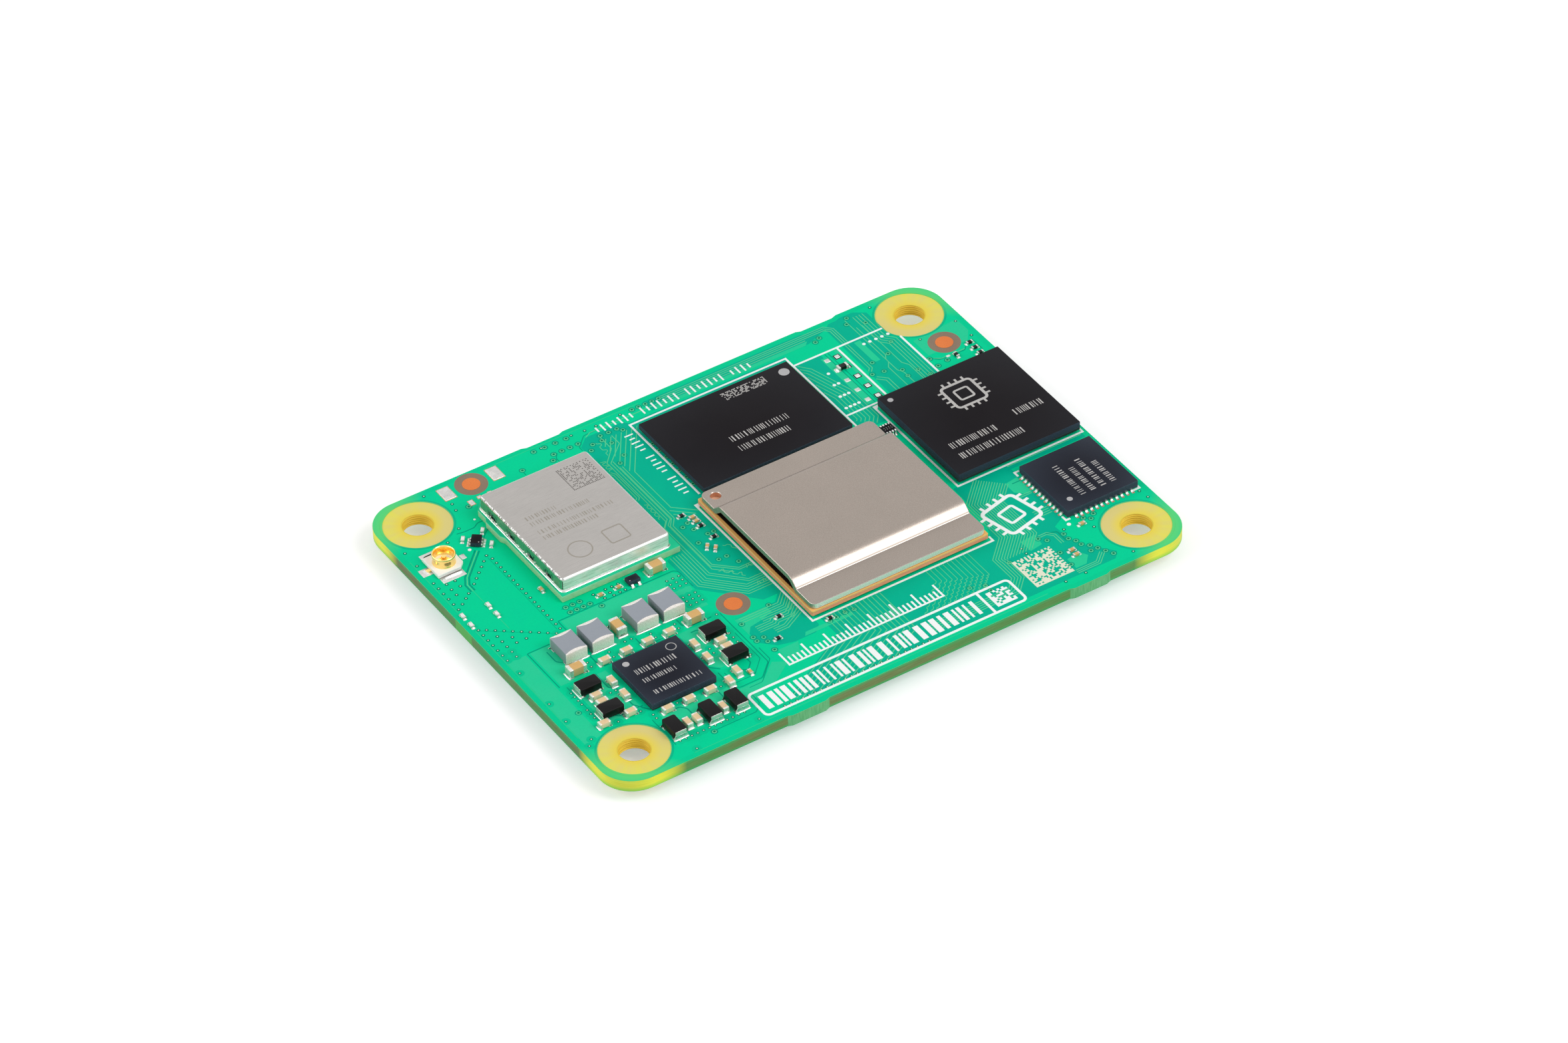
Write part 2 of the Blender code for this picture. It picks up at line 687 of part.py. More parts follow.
def build_ethernet_chip():
    io_x, io_y = io_place()
    x = io_x + IO_SIDE / 2 - ETHERNET_INSET - ETHERNET_SIDE / 2
    y = io_y - IO_SIDE / 2 - ETHERNET_GAP - ETHERNET_SIDE / 2
    mesh = block_mesh("ethernet_chip", ETHERNET_SIDE, ETHERNET_SIDE, ETHERNET_THICKNESS, edge=CHIP_EDGE)
    chip = piece("ethernet_chip", mesh, "slate_package", (x, y, DECK))
    for name, turn in (("rows_front_back", 0.0), ("rows_left_right", math.pi / 2)):
        bm = contact_comb(
            TERMINALS_PER_SIDE,
            TERMINAL_PITCH,
            TERMINAL_WIDTH,
            TERMINAL_THICKNESS,
            ETHERNET_SIDE / 2 - ROOT,
            ETHERNET_SIDE / 2 + TERMINAL_REACH,
            END_STEP,
        )
        rows = helper("ethernet_" + name, mesh_from(bm, name), (x, y, DECK), turn)
        join_or_cut(chip, rows, "UNION")


def build_radio():
    x = RADIO_LEFT + RADIO_LENGTH / 2
    y = RADIO_FRONT + RADIO_WIDTH / 2
    bm = bmesh.new()
    add_block(bm, 0, 0, RADIO_LENGTH, RADIO_WIDTH, 0, RADIO_THICKNESS)
    bevel(bm, upright_edges(bm), RADIO_CHAMFER)
    piece("wireless_board", mesh_from(bm, "wireless_board"), "green_laminate", (x, y, DECK))
    rest = DECK + RADIO_THICKNESS + SEAT
    build_shield(x, rest)
    chip = block_mesh("wireless_chip", RADIO_CHIP_SIDE, RADIO_CHIP_SIDE, RADIO_CHIP_THICKNESS)
    piece("wireless_chip", chip, "black_package", (x, y, rest))
    crystal = block_mesh("wireless_crystal", CRYSTAL_LENGTH, CRYSTAL_WIDTH, CRYSTAL_THICKNESS)
    crystal_y = y - RADIO_CHIP_SIDE / 2 - CRYSTAL_GAP - CRYSTAL_WIDTH / 2
    piece("wireless_crystal", crystal, "steel_sheet", (x, crystal_y, rest))


def build_shield(x, rest):
    length = RADIO_LENGTH - SHIELD_MARGIN_LEFT - SHIELD_MARGIN_RIGHT
    x += (SHIELD_MARGIN_LEFT - SHIELD_MARGIN_RIGHT) / 2
    front = RADIO_FRONT + SHIELD_MARGIN_FRONT
    back = RADIO_FRONT + RADIO_WIDTH - SHIELD_MARGIN_BACK
    y = (front + back) / 2
    bm = bmesh.new()
    add_block(bm, 0, 0, length, back - front, 0, SHIELD_HEIGHT)
    floor = [f for f in bm.faces if f.calc_center_median().z < SEAT]
    bmesh.ops.delete(bm, geom=floor, context="FACES_ONLY")
    bevel(bm, upright_edges(bm), SHIELD_CORNER, 3)
    bevel(bm, level_edges(bm, SHIELD_HEIGHT), SHIELD_FOLD, 2)
    mesh = bpy.data.meshes.new("wireless_shield")
    bm.to_mesh(mesh)
    bm.free()
    shield = piece("wireless_shield", mesh, "steel_sheet", (x, y, rest))
    sheet = shield.modifiers.new("sheet", "SOLIDIFY")
    sheet.thickness = SHIELD_SHEET
    sheet.offset = -1.0
    sheet.use_even_offset = True
    bm = bmesh.new()
    for index in range(SHIELD_GATES):
        gate_y = (index - (SHIELD_GATES - 1) / 2) * SHIELD_GATE_PITCH
        add_block(
            bm, -length / 2, gate_y, 6 * SHIELD_SHEET, SHIELD_GATE_LENGTH, -ROOT, SHIELD_GATE_HEIGHT
        )
    gates = helper("wireless_shield_gates", mesh_from(bm, "wireless_shield_gates"), (x, y, rest))
    join_or_cut(shield, gates, "DIFFERENCE")


def end_capped_mesh(name, size):
    # A block whose metal ends stand a step above its body on all four sides
    length, width, height, cap = size
    bm = bmesh.new()
    add_block(bm, 0, 0, length, width, 0, height)
    waist = length / 2 - cap
    for x in (-waist, -waist + END_STEP, waist - END_STEP, waist):
        everything = bm.verts[:] + bm.edges[:] + bm.faces[:]
        bmesh.ops.bisect_plane(bm, geom=everything, plane_co=(x, 0, 0), plane_no=(1, 0, 0))
    for vert in bm.verts:
        if abs(vert.co.x) < waist - END_STEP / 2:
            vert.co.y -= math.copysign(END_STEP, vert.co.y)
            vert.co.z += END_STEP if vert.co.z < height / 2 else -END_STEP
    rims = [e for e in bm.edges if all(abs(v.co.x) > length / 2 - END_STEP / 2 for v in e.verts)]
    bevel(bm, rims, END_ROUND)
    return mesh_from(bm, name)


def place_parts(name, mesh, finish, places, digits=1):
    for number, (x, y, upright) in enumerate(places, 1):
        label = f"{name}_{number:0{digits}d}"
        piece(label, mesh, finish, (x, y, DECK), math.pi / 2 if upright else 0.0)


def side_groups():
    # Inductors and capacitors to the left and right of the power chip
    inductors, capacitors = [], []
    cap_length, cap_width = SMALL_CAPACITOR[:2]
    inductor_length, inductor_width = POWER_INDUCTOR[:2]
    column = POWER_CHIP_SIDE / 2 + SIDE_CAPACITOR_GAP + cap_width / 2
    outer = column + cap_width / 2 + SIDE_INDUCTOR_GAP + inductor_length / 2
    y = POWER_Y + SIDE_GROUP_SHIFT
    pair = (cap_width + PAIR_GAP) / 2
    reach = pair + cap_width / 2 + PAIR_GAP + inductor_width / 2
    for side in (-1, 1):
        for step in (1, -1):
            inductors.append((POWER_X + side * outer, y + step * reach, False))
            capacitors.append((POWER_X + side * outer, y + step * pair, False))
            column_y = POWER_Y + COLUMN_SHIFT + step * (cap_length + COLUMN_GAP) / 2
            capacitors.append((POWER_X + side * column, column_y, True))
    below = y - reach - inductor_width / 2 - PAIR_GAP / 2 - cap_width / 2
    for side in (-1, 1):
        capacitors.append((POWER_X - outer + side * LOWER_PAIR_SPREAD / 2, below, False))
    return inductors, capacitors


def back_row():
    y = POWER_Y + POWER_CHIP_SIDE / 2 + BACK_ROW_GAP + SMALL_CAPACITOR[1] / 2
    return [(POWER_X + (i - 1.5) * BACK_ROW_PITCH, y, False) for i in range(4)]


def front_row():
    y = POWER_Y - POWER_CHIP_SIDE / 2 - FRONT_ROW_GAP - SMALL_CAPACITOR[1] / 2
    return [(POWER_X + (i - 1) * FRONT_ROW_PITCH, y, False) for i in range(3)]


def front_chain():
    # The foremost row: inductors with upright capacitors between them
    cap_length, cap_width = SMALL_CAPACITOR[:2]
    inductor_length, inductor_width = POWER_INDUCTOR[:2]
    y = front_row()[0][1] - cap_width / 2 - FRONT_CHAIN_ROW_GAP - inductor_length / 2
    x = POWER_X - POWER_CHIP_SIDE / 2 - FRONT_CHAIN_OVERHANG
    inductors, capacitors = [], []
    for kind in "iccici":
        width = inductor_width if kind == "i" else cap_width
        group = inductors if kind == "i" else capacitors
        group.append((x + width / 2, y, True))
        x += width + FRONT_CHAIN_GAP
    return inductors, capacitors


def large_row():
    # Four large inductors behind the chip, with one capacitor standing in their middle
    length, width = LARGE_INDUCTOR[:2]
    capacitor_width = LARGE_CAPACITOR[1]
    y = back_row()[0][1] + SMALL_CAPACITOR[1] / 2 + LARGE_ROW_GAP + length / 2
    x = POWER_X + LARGE_ROW_SHIFT
    inner = capacitor_width / 2 + LARGE_MIDDLE_GAP + width / 2
    outer = inner + width + LARGE_PAIR_GAP
    return [(x + offset, y, True) for offset in (-outer, -inner, inner, outer)], (x, y, True)


def build_power_section():
    chip = block_mesh(
        "power_chip", POWER_CHIP_SIDE, POWER_CHIP_SIDE, POWER_CHIP_THICKNESS, edge=CHIP_EDGE
    )
    piece("power_chip", chip, "slate_package", (POWER_X, POWER_Y, DECK))
    inductors, capacitors = side_groups()
    chain_inductors, chain_capacitors = front_chain()
    large_inductors, middle_capacitor = large_row()
    capacitors += back_row() + front_row() + chain_capacitors
    corner_x = POWER_X + POWER_CHIP_SIDE / 2
    corner_y = POWER_Y - POWER_CHIP_SIDE / 2
    capacitors.append((corner_x + CORNER_CAPACITOR_FAR, corner_y, True))
    capacitors.append((corner_x + CORNER_CAPACITOR_NEAR, corner_y - CORNER_CAPACITOR_DROP, True))
    radio_capacitor_y = RADIO_FRONT - RADIO_CAPACITOR_GAP - LARGE_CAPACITOR[1] / 2
    large_capacitors = [
        (RADIO_CAPACITOR_X, radio_capacitor_y, False),
        middle_capacitor,
        (POWER_X - FLANK_CAPACITOR_X, POWER_Y + FLANK_CAPACITOR_Y, False),
        (POWER_X + FLANK_CAPACITOR_X, POWER_Y + FLANK_CAPACITOR_Y, False),
    ]
    kinds = (
        ("large_inductor", LARGE_INDUCTOR, "grey_ferrite", large_inductors, 1),
        ("power_inductor", POWER_INDUCTOR, "black_ferrite", inductors + chain_inductors, 1),
        ("large_capacitor", LARGE_CAPACITOR, "tan_ceramic", large_capacitors, 1),
        ("small_capacitor", SMALL_CAPACITOR, "pale_ceramic", capacitors, 2),
    )
    for name, size, finish, places, digits in kinds:
        place_parts(name, end_capped_mesh(name, size), finish, places, digits)


def turned(name, finish, outline, closed, location):
    bm = bmesh.new()
    verts = [bm.verts.new((r, 0, z)) for r, z in outline]
    for pair in zip(verts, verts[1:]):
        bm.edges.new(pair)
    if closed:
        bm.edges.new((verts[-1], verts[0]))
    mesh = bpy.data.meshes.new(name)
    bm.to_mesh(mesh)
    bm.free()
    obj = piece(name, mesh, finish, location)
    spin = obj.modifiers.new("turn", "SCREW")
    spin.steps = SOCKET_STEPS
    spin.render_steps = SOCKET_STEPS
    spin.use_merge_vertices = True
    spin.merge_threshold = SEAT / 20
    spin.use_smooth_shade = True


def build_antenna_socket():
    place = (SOCKET_X, SOCKET_Y, DECK)
    bm = bmesh.new()
    add_block(bm, 0, 0, SOCKET_BASE, SOCKET_BASE, 0, SOCKET_BASE_HEIGHT)
    bevel(bm, [e for e in upright_edges(bm) if e.verts[0].co.x > 0], SOCKET_CHAMFER)
    base = piece("antenna_socket_base", mesh_from(bm, "antenna_socket_base"), "white_plastic", place)
    bm = bmesh.new()
    half = SOCKET_BASE / 2
    for side in (-1, 1):
        middle = side * (half + (SOCKET_EAR_REACH - ROOT) / 2)
        add_block(
            bm,
            -ROOT,
            middle,
            SOCKET_EAR_LENGTH,
            SOCKET_EAR_REACH + ROOT,
            END_STEP,
            END_STEP + SOCKET_EAR_HEIGHT,
        )
    add_block(
        bm,
        -half - (SOCKET_SIGNAL_REACH - ROOT) / 2,
        0,
        SOCKET_SIGNAL_REACH + ROOT,
        SOCKET_SIGNAL_WIDTH,
        END_STEP,
        END_STEP + SOCKET_EAR_HEIGHT,
    )
    ears = helper("antenna_socket_ears", mesh_from(bm, "antenna_socket_ears"), place)
    join_or_cut(base, ears, "UNION")
    outer = SOCKET_DIAMETER / 2
    inner = outer - SOCKET_WALL
    groove = outer - SOCKET_GROOVE
    low = SOCKET_BASE_HEIGHT + SEAT
    lip = SOCKET_WALL / 2
    shell = (
        (inner + lip / 2, SOCKET_HEIGHT),
        (outer - lip / 2, SOCKET_HEIGHT),
        (outer, SOCKET_HEIGHT - lip),
        (outer, SOCKET_HEIGHT - 3 * lip),
        (groove, SOCKET_HEIGHT - 5 * lip),
        (groove, low + 3 * lip),
        (outer, low + lip),
        (outer, low),
        (inner, low),
        (inner, SOCKET_HEIGHT - lip),
    )
    turned("antenna_socket_shell", "gold_plate", shell, True, place)
    radius = SOCKET_PIN_DIAMETER / 2
    pin = (
        (0, SOCKET_PIN_HEIGHT),
        (radius / 2, SOCKET_PIN_HEIGHT - radius / 8),
        (radius, SOCKET_PIN_HEIGHT - radius / 2),
        (radius, low),
        (0, low),
    )
    turned("antenna_socket_pin", "gold_plate", pin, False, place)


def build_leaded_chip(name, x, y, length, width, height, leads, turn=0.0):
    body = block_mesh(name, length, width, height, edge=CHIP_EDGE)
    chip = piece(name, body, "slate_package", (x, y, DECK), turn)
    pitch = (length - LEAD_WIDTH) / leads
    bm = contact_comb(
        leads, pitch, LEAD_WIDTH, LEAD_THICKNESS, width / 2 - ROOT, width / 2 + LEAD_REACH, END_STEP
    )
    rows = helper(name + "_leads", mesh_from(bm, name + "_leads"), (x, y, DECK), turn)
    join_or_cut(chip, rows, "UNION")


def build_small_chips():
    build_leaded_chip(
        "antenna_switch",
        ANTENNA_SWITCH_X,
        ANTENNA_SWITCH_Y,
        ANTENNA_SWITCH_LENGTH,
        ANTENNA_SWITCH_WIDTH,
        SMALL_CHIP_HEIGHT,
        3,
        ANTENNA_SWITCH_TURN,
    )
    build_leaded_chip(
        "supply_switch",
        SUPPLY_SWITCH_X,
        RADIO_FRONT - SUPPLY_SWITCH_GAP - SUPPLY_SWITCH_WIDTH / 2,
        SUPPLY_SWITCH_LENGTH,
        SUPPLY_SWITCH_WIDTH,
        SMALL_CHIP_HEIGHT,
        2,
    )
    build_leaded_chip(
        "resistor_array",
        processor_edge(1) + IO_GAP / 2,
        ARRAY_Y,
        ARRAY_LENGTH,
        ARRAY_WIDTH,
        ARRAY_HEIGHT,
        4,
        math.pi / 2,
    )
    resistor = end_capped_mesh("option_resistor", OPTION_RESISTOR)
    y = option_rows()[OPTION_FITTED_ROW]
    piece("option_resistor", resistor, "black_ferrite", (OPTION_X, y, DECK))


clear_scene()
module = new_collection("system_on_module")
cutters = new_collection("cutters")
cutters.hide_render = True
build_circuit_board()
build_plug("connector_front", -HOLE_Y)
build_plug("connector_back", HOLE_Y)
build_processor()
build_memory_and_io()
build_ethernet_chip()
build_radio()
build_power_section()
build_antenna_socket()
build_small_chips()
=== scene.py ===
import itertools
import math
import random

import bmesh
import bpy
from mathutils import Matrix, Vector


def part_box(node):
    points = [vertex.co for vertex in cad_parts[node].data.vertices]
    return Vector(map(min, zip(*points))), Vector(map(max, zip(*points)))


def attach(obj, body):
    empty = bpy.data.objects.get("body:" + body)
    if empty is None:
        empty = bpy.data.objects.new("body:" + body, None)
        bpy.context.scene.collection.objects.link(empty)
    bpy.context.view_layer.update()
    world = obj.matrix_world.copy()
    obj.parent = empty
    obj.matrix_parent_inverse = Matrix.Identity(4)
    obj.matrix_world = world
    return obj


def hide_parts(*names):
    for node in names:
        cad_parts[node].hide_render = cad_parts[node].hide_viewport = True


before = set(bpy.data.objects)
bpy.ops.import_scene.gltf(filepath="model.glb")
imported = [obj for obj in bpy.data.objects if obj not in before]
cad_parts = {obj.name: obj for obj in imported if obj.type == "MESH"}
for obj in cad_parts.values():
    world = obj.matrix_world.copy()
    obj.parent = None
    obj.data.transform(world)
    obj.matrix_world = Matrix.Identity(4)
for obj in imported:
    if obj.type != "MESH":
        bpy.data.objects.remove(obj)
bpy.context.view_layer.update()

# Everything below is drawn in millimetres and scaled to metres when a piece is made
mm = 0.001
seatGap = 0.02  # what solder fills between a part and the board
root = "root"
dice = random.Random(7)


def boxMm(node):
    # Lowest corner, highest corner, size, and the middle of the underside
    low, high = [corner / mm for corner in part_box(node)]
    return low, high, high - low, ((low.x + high.x) / 2, (low.y + high.y) / 2, low.z)


topZ = boxMm("power_chip")[0].z - seatGap
bottomZ = boxMm("connector_front")[1].z + seatGap
screwX, screwY = 24.0, 16.5
edgeX, edgeY = 27.5, 20.0
cornerRadius = 3.0
screwPlaces = [(x, y) for x in (-screwX, screwX) for y in (-screwY, screwY)]


# Shader helpers
def linear(red, green, blue):
    # A colour as read off a screen, 0 to 255, in the renderer's linear values
    shares = [value / 255 for value in (red, green, blue)]
    return tuple(s / 12.92 if s <= 0.04045 else ((s + 0.055) / 1.055) ** 2.4 for s in shares) + (1.0,)


def feed(tree, socket, value):
    # Links an output to the socket, or sets its own value
    if isinstance(value, bpy.types.NodeSocket):
        tree.links.new(value, socket)
    else:
        socket.default_value = value


def addNode(tree, kind, inputs=None, **settings):
    made = tree.nodes.new("ShaderNode" + kind)
    for key, value in settings.items():
        setattr(made, key, value)
    for key, value in (inputs or {}).items():
        feed(tree, made.inputs[key], value)
    return made


def mathNode(tree, operation, a, b=0.0, clamp=False):
    return addNode(tree, "Math", {0: a, 1: b}, operation=operation, use_clamp=clamp).outputs[0]


def times(tree, a, b, clamp=False):
    return mathNode(tree, "MULTIPLY", a, b, clamp)


def below(tree, a, b):
    return mathNode(tree, "LESS_THAN", a, b)


def above(tree, a, b):
    return mathNode(tree, "GREATER_THAN", a, b)


def absolute(tree, value, centre=None):
    # The value without its sign, or its distance from a centre
    if centre is not None:
        value = mathNode(tree, "SUBTRACT", value, centre)
    return mathNode(tree, "ABSOLUTE", value)


def vectorNode(tree, operation, a, b=(0.0, 0.0, 0.0), output="Vector"):
    return addNode(tree, "VectorMath", {0: a, 1: b}, operation=operation).outputs[output]


def mixColor(tree, factor, a, b, blend="MIX"):
    # Of a Mix node's many sockets these are its factor and its two colours
    node = addNode(tree, "Mix", data_type="RGBA", blend_type=blend)
    for place, value in ((0, factor), (6, a), (7, b)):
        isScreenColor = isinstance(value, tuple) and len(value) == 3
        feed(tree, node.inputs[place], linear(*value) if isScreenColor else value)
    return node.outputs[2]


def cover(tree, sockets, mask, color):
    sockets["color"] = mixColor(tree, mask, sockets["color"], color)


def spread(tree, value, fromLow, fromHigh, toLow=0, toHigh=1):
    inputs = {"Value": value, "From Min": fromLow, "From Max": fromHigh, "To Min": toLow, "To Max": toHigh}
    return addNode(tree, "MapRange", inputs).outputs["Result"]


def placeMm(tree):
    place = addNode(tree, "TexCoord").outputs["Object"]
    return addNode(tree, "VectorMath", {0: place, "Scale": 1 / mm}, operation="SCALE").outputs[0]


def placeParts(tree):
    return addNode(tree, "SeparateXYZ", {"Vector": placeMm(tree)}).outputs


def facingParts(tree, normal="True Normal"):
    return addNode(tree, "SeparateXYZ", {"Vector": addNode(tree, "NewGeometry").outputs[normal]}).outputs


def noiseMask(tree, place, stretch, detail, low, high):
    moved = vectorNode(tree, "MULTIPLY", place, stretch)
    noise = addNode(tree, "TexNoise", {"Vector": moved, "Scale": 1.0, "Detail": detail}).outputs["Fac"]
    return spread(tree, noise, low, high)


def seenDirectly(tree):
    # 1 for what the camera sees, also in a mirror or through a window
    path = addNode(tree, "LightPath").outputs
    seen = mathNode(tree, "MAXIMUM", path["Is Camera Ray"], path["Is Glossy Ray"])
    return mathNode(tree, "MAXIMUM", seen, path["Is Transmission Ray"])


def newGroup(name, inputs, outputs):
    group = bpy.data.node_groups.new(name, "ShaderNodeTree")
    for label, kind, value in inputs:
        group.interface.new_socket(name=label, in_out="INPUT", socket_type=kind).default_value = value
    for label in outputs:
        group.interface.new_socket(name=label, in_out="OUTPUT", socket_type="NodeSocketFloat")
    return group, group.nodes.new("NodeGroupInput").outputs, group.nodes.new("NodeGroupOutput").inputs


def buildGrain():
    # Fine grain and broad patches, in grains and patches to the millimetre
    inputs = [("Grains", "NodeSocketFloat", 12.0), ("Patches", "NodeSocketFloat", 0.4)]
    inputs.append(("Stretch", "NodeSocketVector", (1.0, 1.0, 1.0)))
    group, given, result = newGroup("surfaceGrain", inputs, ["Grain", "Patch", "Speck"])
    place = placeMm(group)
    stretched = vectorNode(group, "MULTIPLY", place, given["Stretch"])
    fine = addNode(group, "TexNoise", {"Vector": stretched, "Scale": given["Grains"], "Detail": 3.0})
    broad = addNode(group, "TexNoise", {"Vector": place, "Scale": given["Patches"], "Detail": 2.0})
    cells = addNode(group, "TexVoronoi", {"Vector": stretched, "Scale": given["Grains"]})
    feed(group, result["Grain"], fine.outputs["Fac"])
    feed(group, result["Patch"], broad.outputs["Fac"])
    feed(group, result["Speck"], spread(group, cells.outputs["Distance"], 0.12, 0.02))
    return group


def buildEdgeWear():
    # Where a rounded normal leaves the true one, an edge is near, and there the edge light is painted
    inputs = [("Radius", "NodeSocketFloat", 0.00004), ("Gain", "NodeSocketFloat", 6.0)]
    group, given, result = newGroup("paintedEdgeLight", inputs, ["Mask"])
    rounded = addNode(group, "Bevel", {"Radius": given["Radius"]}, samples=4).outputs["Normal"]
    true = addNode(group, "NewGeometry").outputs["True Normal"]
    away = mathNode(group, "SUBTRACT", 1.0, vectorNode(group, "DOT_PRODUCT", rounded, true, "Value"))
    feed(group, result["Mask"], times(group, away, given["Gain"], True))
    return group


grainGroup = buildGrain()
edgeLightGroup = buildEdgeWear()
# Sizes in millimetres, grains and patches to the millimetre
plainLook = {
    "color": (128, 128, 128), "tone": (128, 128, 128), "toneShare": 0.5, "shade": 0.1,
    "rough": 0.5, "roughSpread": 0.08, "metal": 0.0, "specular": 0.5,
    "grains": 14, "patches": 0.5, "stretch": (1.0, 1.0, 1.0), "bump": 0.15, "depth": 0.01,
    "wear": 0.0, "wearColor": (200, 200, 200), "wearRadius": 0.04,
    "speck": 0.0, "speckColor": (230, 230, 230),
}


def surface(color, tone, rough, grains, bump, **more):
    return {"color": color, "tone": tone, "rough": rough, "grains": grains, "bump": bump, **more}


def makeMaterial(name, look, paint=None):
    settings = {**plainLook, **look}
    material = bpy.data.materials.new(name)
    material.use_nodes = True
    tree = material.node_tree
    inputs = {key.title(): settings[key] for key in ("grains", "patches", "stretch")}
    grain = addNode(tree, "Group", inputs, node_tree=grainGroup).outputs
    share = spread(tree, grain["Patch"], 0.3, 0.7, 0, settings["toneShare"])
    color = mixColor(tree, share, settings["color"], settings["tone"])
    shade = spread(tree, grain["Grain"], 0.3, 0.7, 1 - settings["shade"], 1 + settings["shade"])
    color = mixColor(tree, 1.0, color, shade, "MULTIPLY")
    sockets = {"color": color, "metal": settings["metal"], "grain": grain["Grain"]}
    if settings["speck"]:
        cover(tree, sockets, times(tree, grain["Speck"], settings["speck"]), settings["speckColor"])
    low, high = settings["rough"] - settings["roughSpread"], settings["rough"] + settings["roughSpread"]
    sockets["rough"] = spread(tree, grain["Grain"], 0.3, 0.7, low, high)
    if paint:
        paint(tree, sockets)
    # Painted edge light: most looks paint their rounded edges lighter, a painted highlight
    if settings["wear"]:
        litEdge = addNode(tree, "Group", {"Radius": settings["wearRadius"] * mm},
                       node_tree=edgeLightGroup).outputs[0]
        cover(tree, sockets, times(tree, litEdge, settings["wear"]), settings["wearColor"])
    relief = {"Strength": settings["bump"], "Distance": settings["depth"] * mm, "Height": grain["Grain"]}
    shader = tree.nodes["Principled BSDF"].inputs
    feed(tree, shader["Base Color"], sockets["color"])
    feed(tree, shader["Roughness"], sockets["rough"])
    feed(tree, shader["Metallic"], sockets["metal"])
    feed(tree, shader["Specular IOR Level"], settings["specular"])
    feed(tree, shader["Normal"], addNode(tree, "Bump", relief).outputs["Normal"])
    return material


# Mesh helpers
def newObject(name, data):
    obj = bpy.data.objects.new(name, data)
    bpy.context.scene.collection.objects.link(obj)
    return obj


def meshObject(name, bm):
    bmesh.ops.recalc_face_normals(bm, faces=bm.faces)
    mesh = bpy.data.meshes.new(name)
    bm.to_mesh(mesh)
    bm.free()
    mesh.transform(Matrix.Scale(mm, 4))
    return newObject(name, mesh)


def newPiece(name, bm, materials, replaced, smooth=35, location=(0, 0, 0), turn=0.0):
    obj = meshObject(name, bm)
    for material in materials:
        obj.data.materials.append(material)
    obj.location = Vector(location) * mm
    obj.rotation_euler.z = turn
    obj.data.shade_smooth()
    obj.data.set_sharp_from_angle(angle=math.radians(smooth))
    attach(obj, root)
    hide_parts(*replaced)
    return obj


def boardPiece(name, bm, materials, smooth=35):
    newPiece(name, bm, materials, ["circuit_board"], smooth)


def addPart(bm, part, index=0, move=(0, 0, 0), turn=0.0):
    # Puts a small mesh into a larger one, with its own material index
    part.transform(Matrix.Translation(move) @ Matrix.Rotation(turn, 4, "Z"))
    for face in part.faces:
        face.material_index += index
    mesh = bpy.data.meshes.new("part")
    part.to_mesh(mesh)
    part.free()
    bm.from_mesh(mesh)
    bpy.data.meshes.remove(mesh)


def roundBox(bm, centre, size, radius=0.0, segments=2, index=0, turn=0.0, onlyTop=False):
    # centre is the middle of the underside
    part = bmesh.new()
    verts = bmesh.ops.create_cube(part, size=1.0)["verts"]
    bmesh.ops.scale(part, vec=size, verts=verts)
    bmesh.ops.translate(part, vec=(0, 0, size[2] / 2), verts=verts)
    if radius:
        edges = part.edges[:]
        if onlyTop:
            edges = [e for e in edges if max(v.co.z for v in e.verts) > size[2] / 2]
        bmesh.ops.bevel(
            part, geom=edges, offset=radius, segments=segments, profile=0.5, affect="EDGES",
            clamp_overlap=True
        )
    addPart(bm, part, index, centre, turn)


def addDisc(bm, x, y, radius, low, high, index=0, steps=32, shoulder=0.0):
    part = bmesh.new()
    upper = radius - shoulder
    bmesh.ops.create_cone(part, cap_ends=True, segments=steps, radius1=radius, radius2=upper,
                          depth=high - low)
    addPart(bm, part, index, (x, y, (low + high) / 2))


def ringPoints(x, y, radius, steps):
    turns = [2 * math.pi * i / steps for i in range(steps)]
    return [(x + radius * math.cos(a), y + radius * math.sin(a)) for a in turns]


def lathe(bm, profile, steps, index=0, move=(0, 0, 0), closed=False):
    # Turns (radius, height) points round the upright axis
    part = bmesh.new()
    rings = []
    for radius, height in profile:
        points = [(0, 0)] if radius < 1e-6 else ringPoints(0, 0, radius, steps)
        rings.append([part.verts.new((x, y, height)) for x, y in points])
    for a, b in zip(rings, rings[1:] + rings[:1] if closed else rings[1:]):
        for i in range(steps):
            j = (i + 1) % steps
            corners = [a[i % len(a)], a[j % len(a)], b[j % len(b)], b[i % len(b)]]
            unique = list(dict.fromkeys(corners))
            if len(unique) > 2:
                part.faces.new(unique)
    addPart(bm, part, index, move)


def offsetLine(points, distance, closed=False):
    # The same line moved sideways, to its left, with true corners
    line = [Vector(point) for point in points]
    moved = []
    for i, here in enumerate(line):
        ways = []
        if i or closed:
            ways.append((here - line[i - 1]).normalized())
        if i < len(line) - 1 or closed:
            ways.append((line[(i + 1) % len(line)] - here).normalized())
        normals = [Vector((-way.y, way.x)) for way in ways]
        middle = sum(normals, Vector((0, 0))).normalized()
        scale = 1 / max(0.4, middle.dot(normals[0]))
        moved.append(tuple(here + middle * distance * scale))
    return moved


def roundLine(points, radius, steps=4):
    # Each inner corner of a line becomes a short curve, of one reach or of its own
    line = [points[0]]
    reaches = radius if isinstance(radius, tuple) else (radius,) * len(points)
    for before, here, after, wanted in zip(points, points[1:], points[2:], reaches):
        a, b, c = Vector(before), Vector(here), Vector(after)
        reach = min(wanted, (a - b).length / 2, (c - b).length / 2)
        start, end = b + (a - b).normalized() * reach, b + (c - b).normalized() * reach
        for i in range(steps + 1):
            t = i / steps
            line.append(tuple(start.lerp(b, t).lerp(b.lerp(end, t), t)))
    return line + [points[-1]]


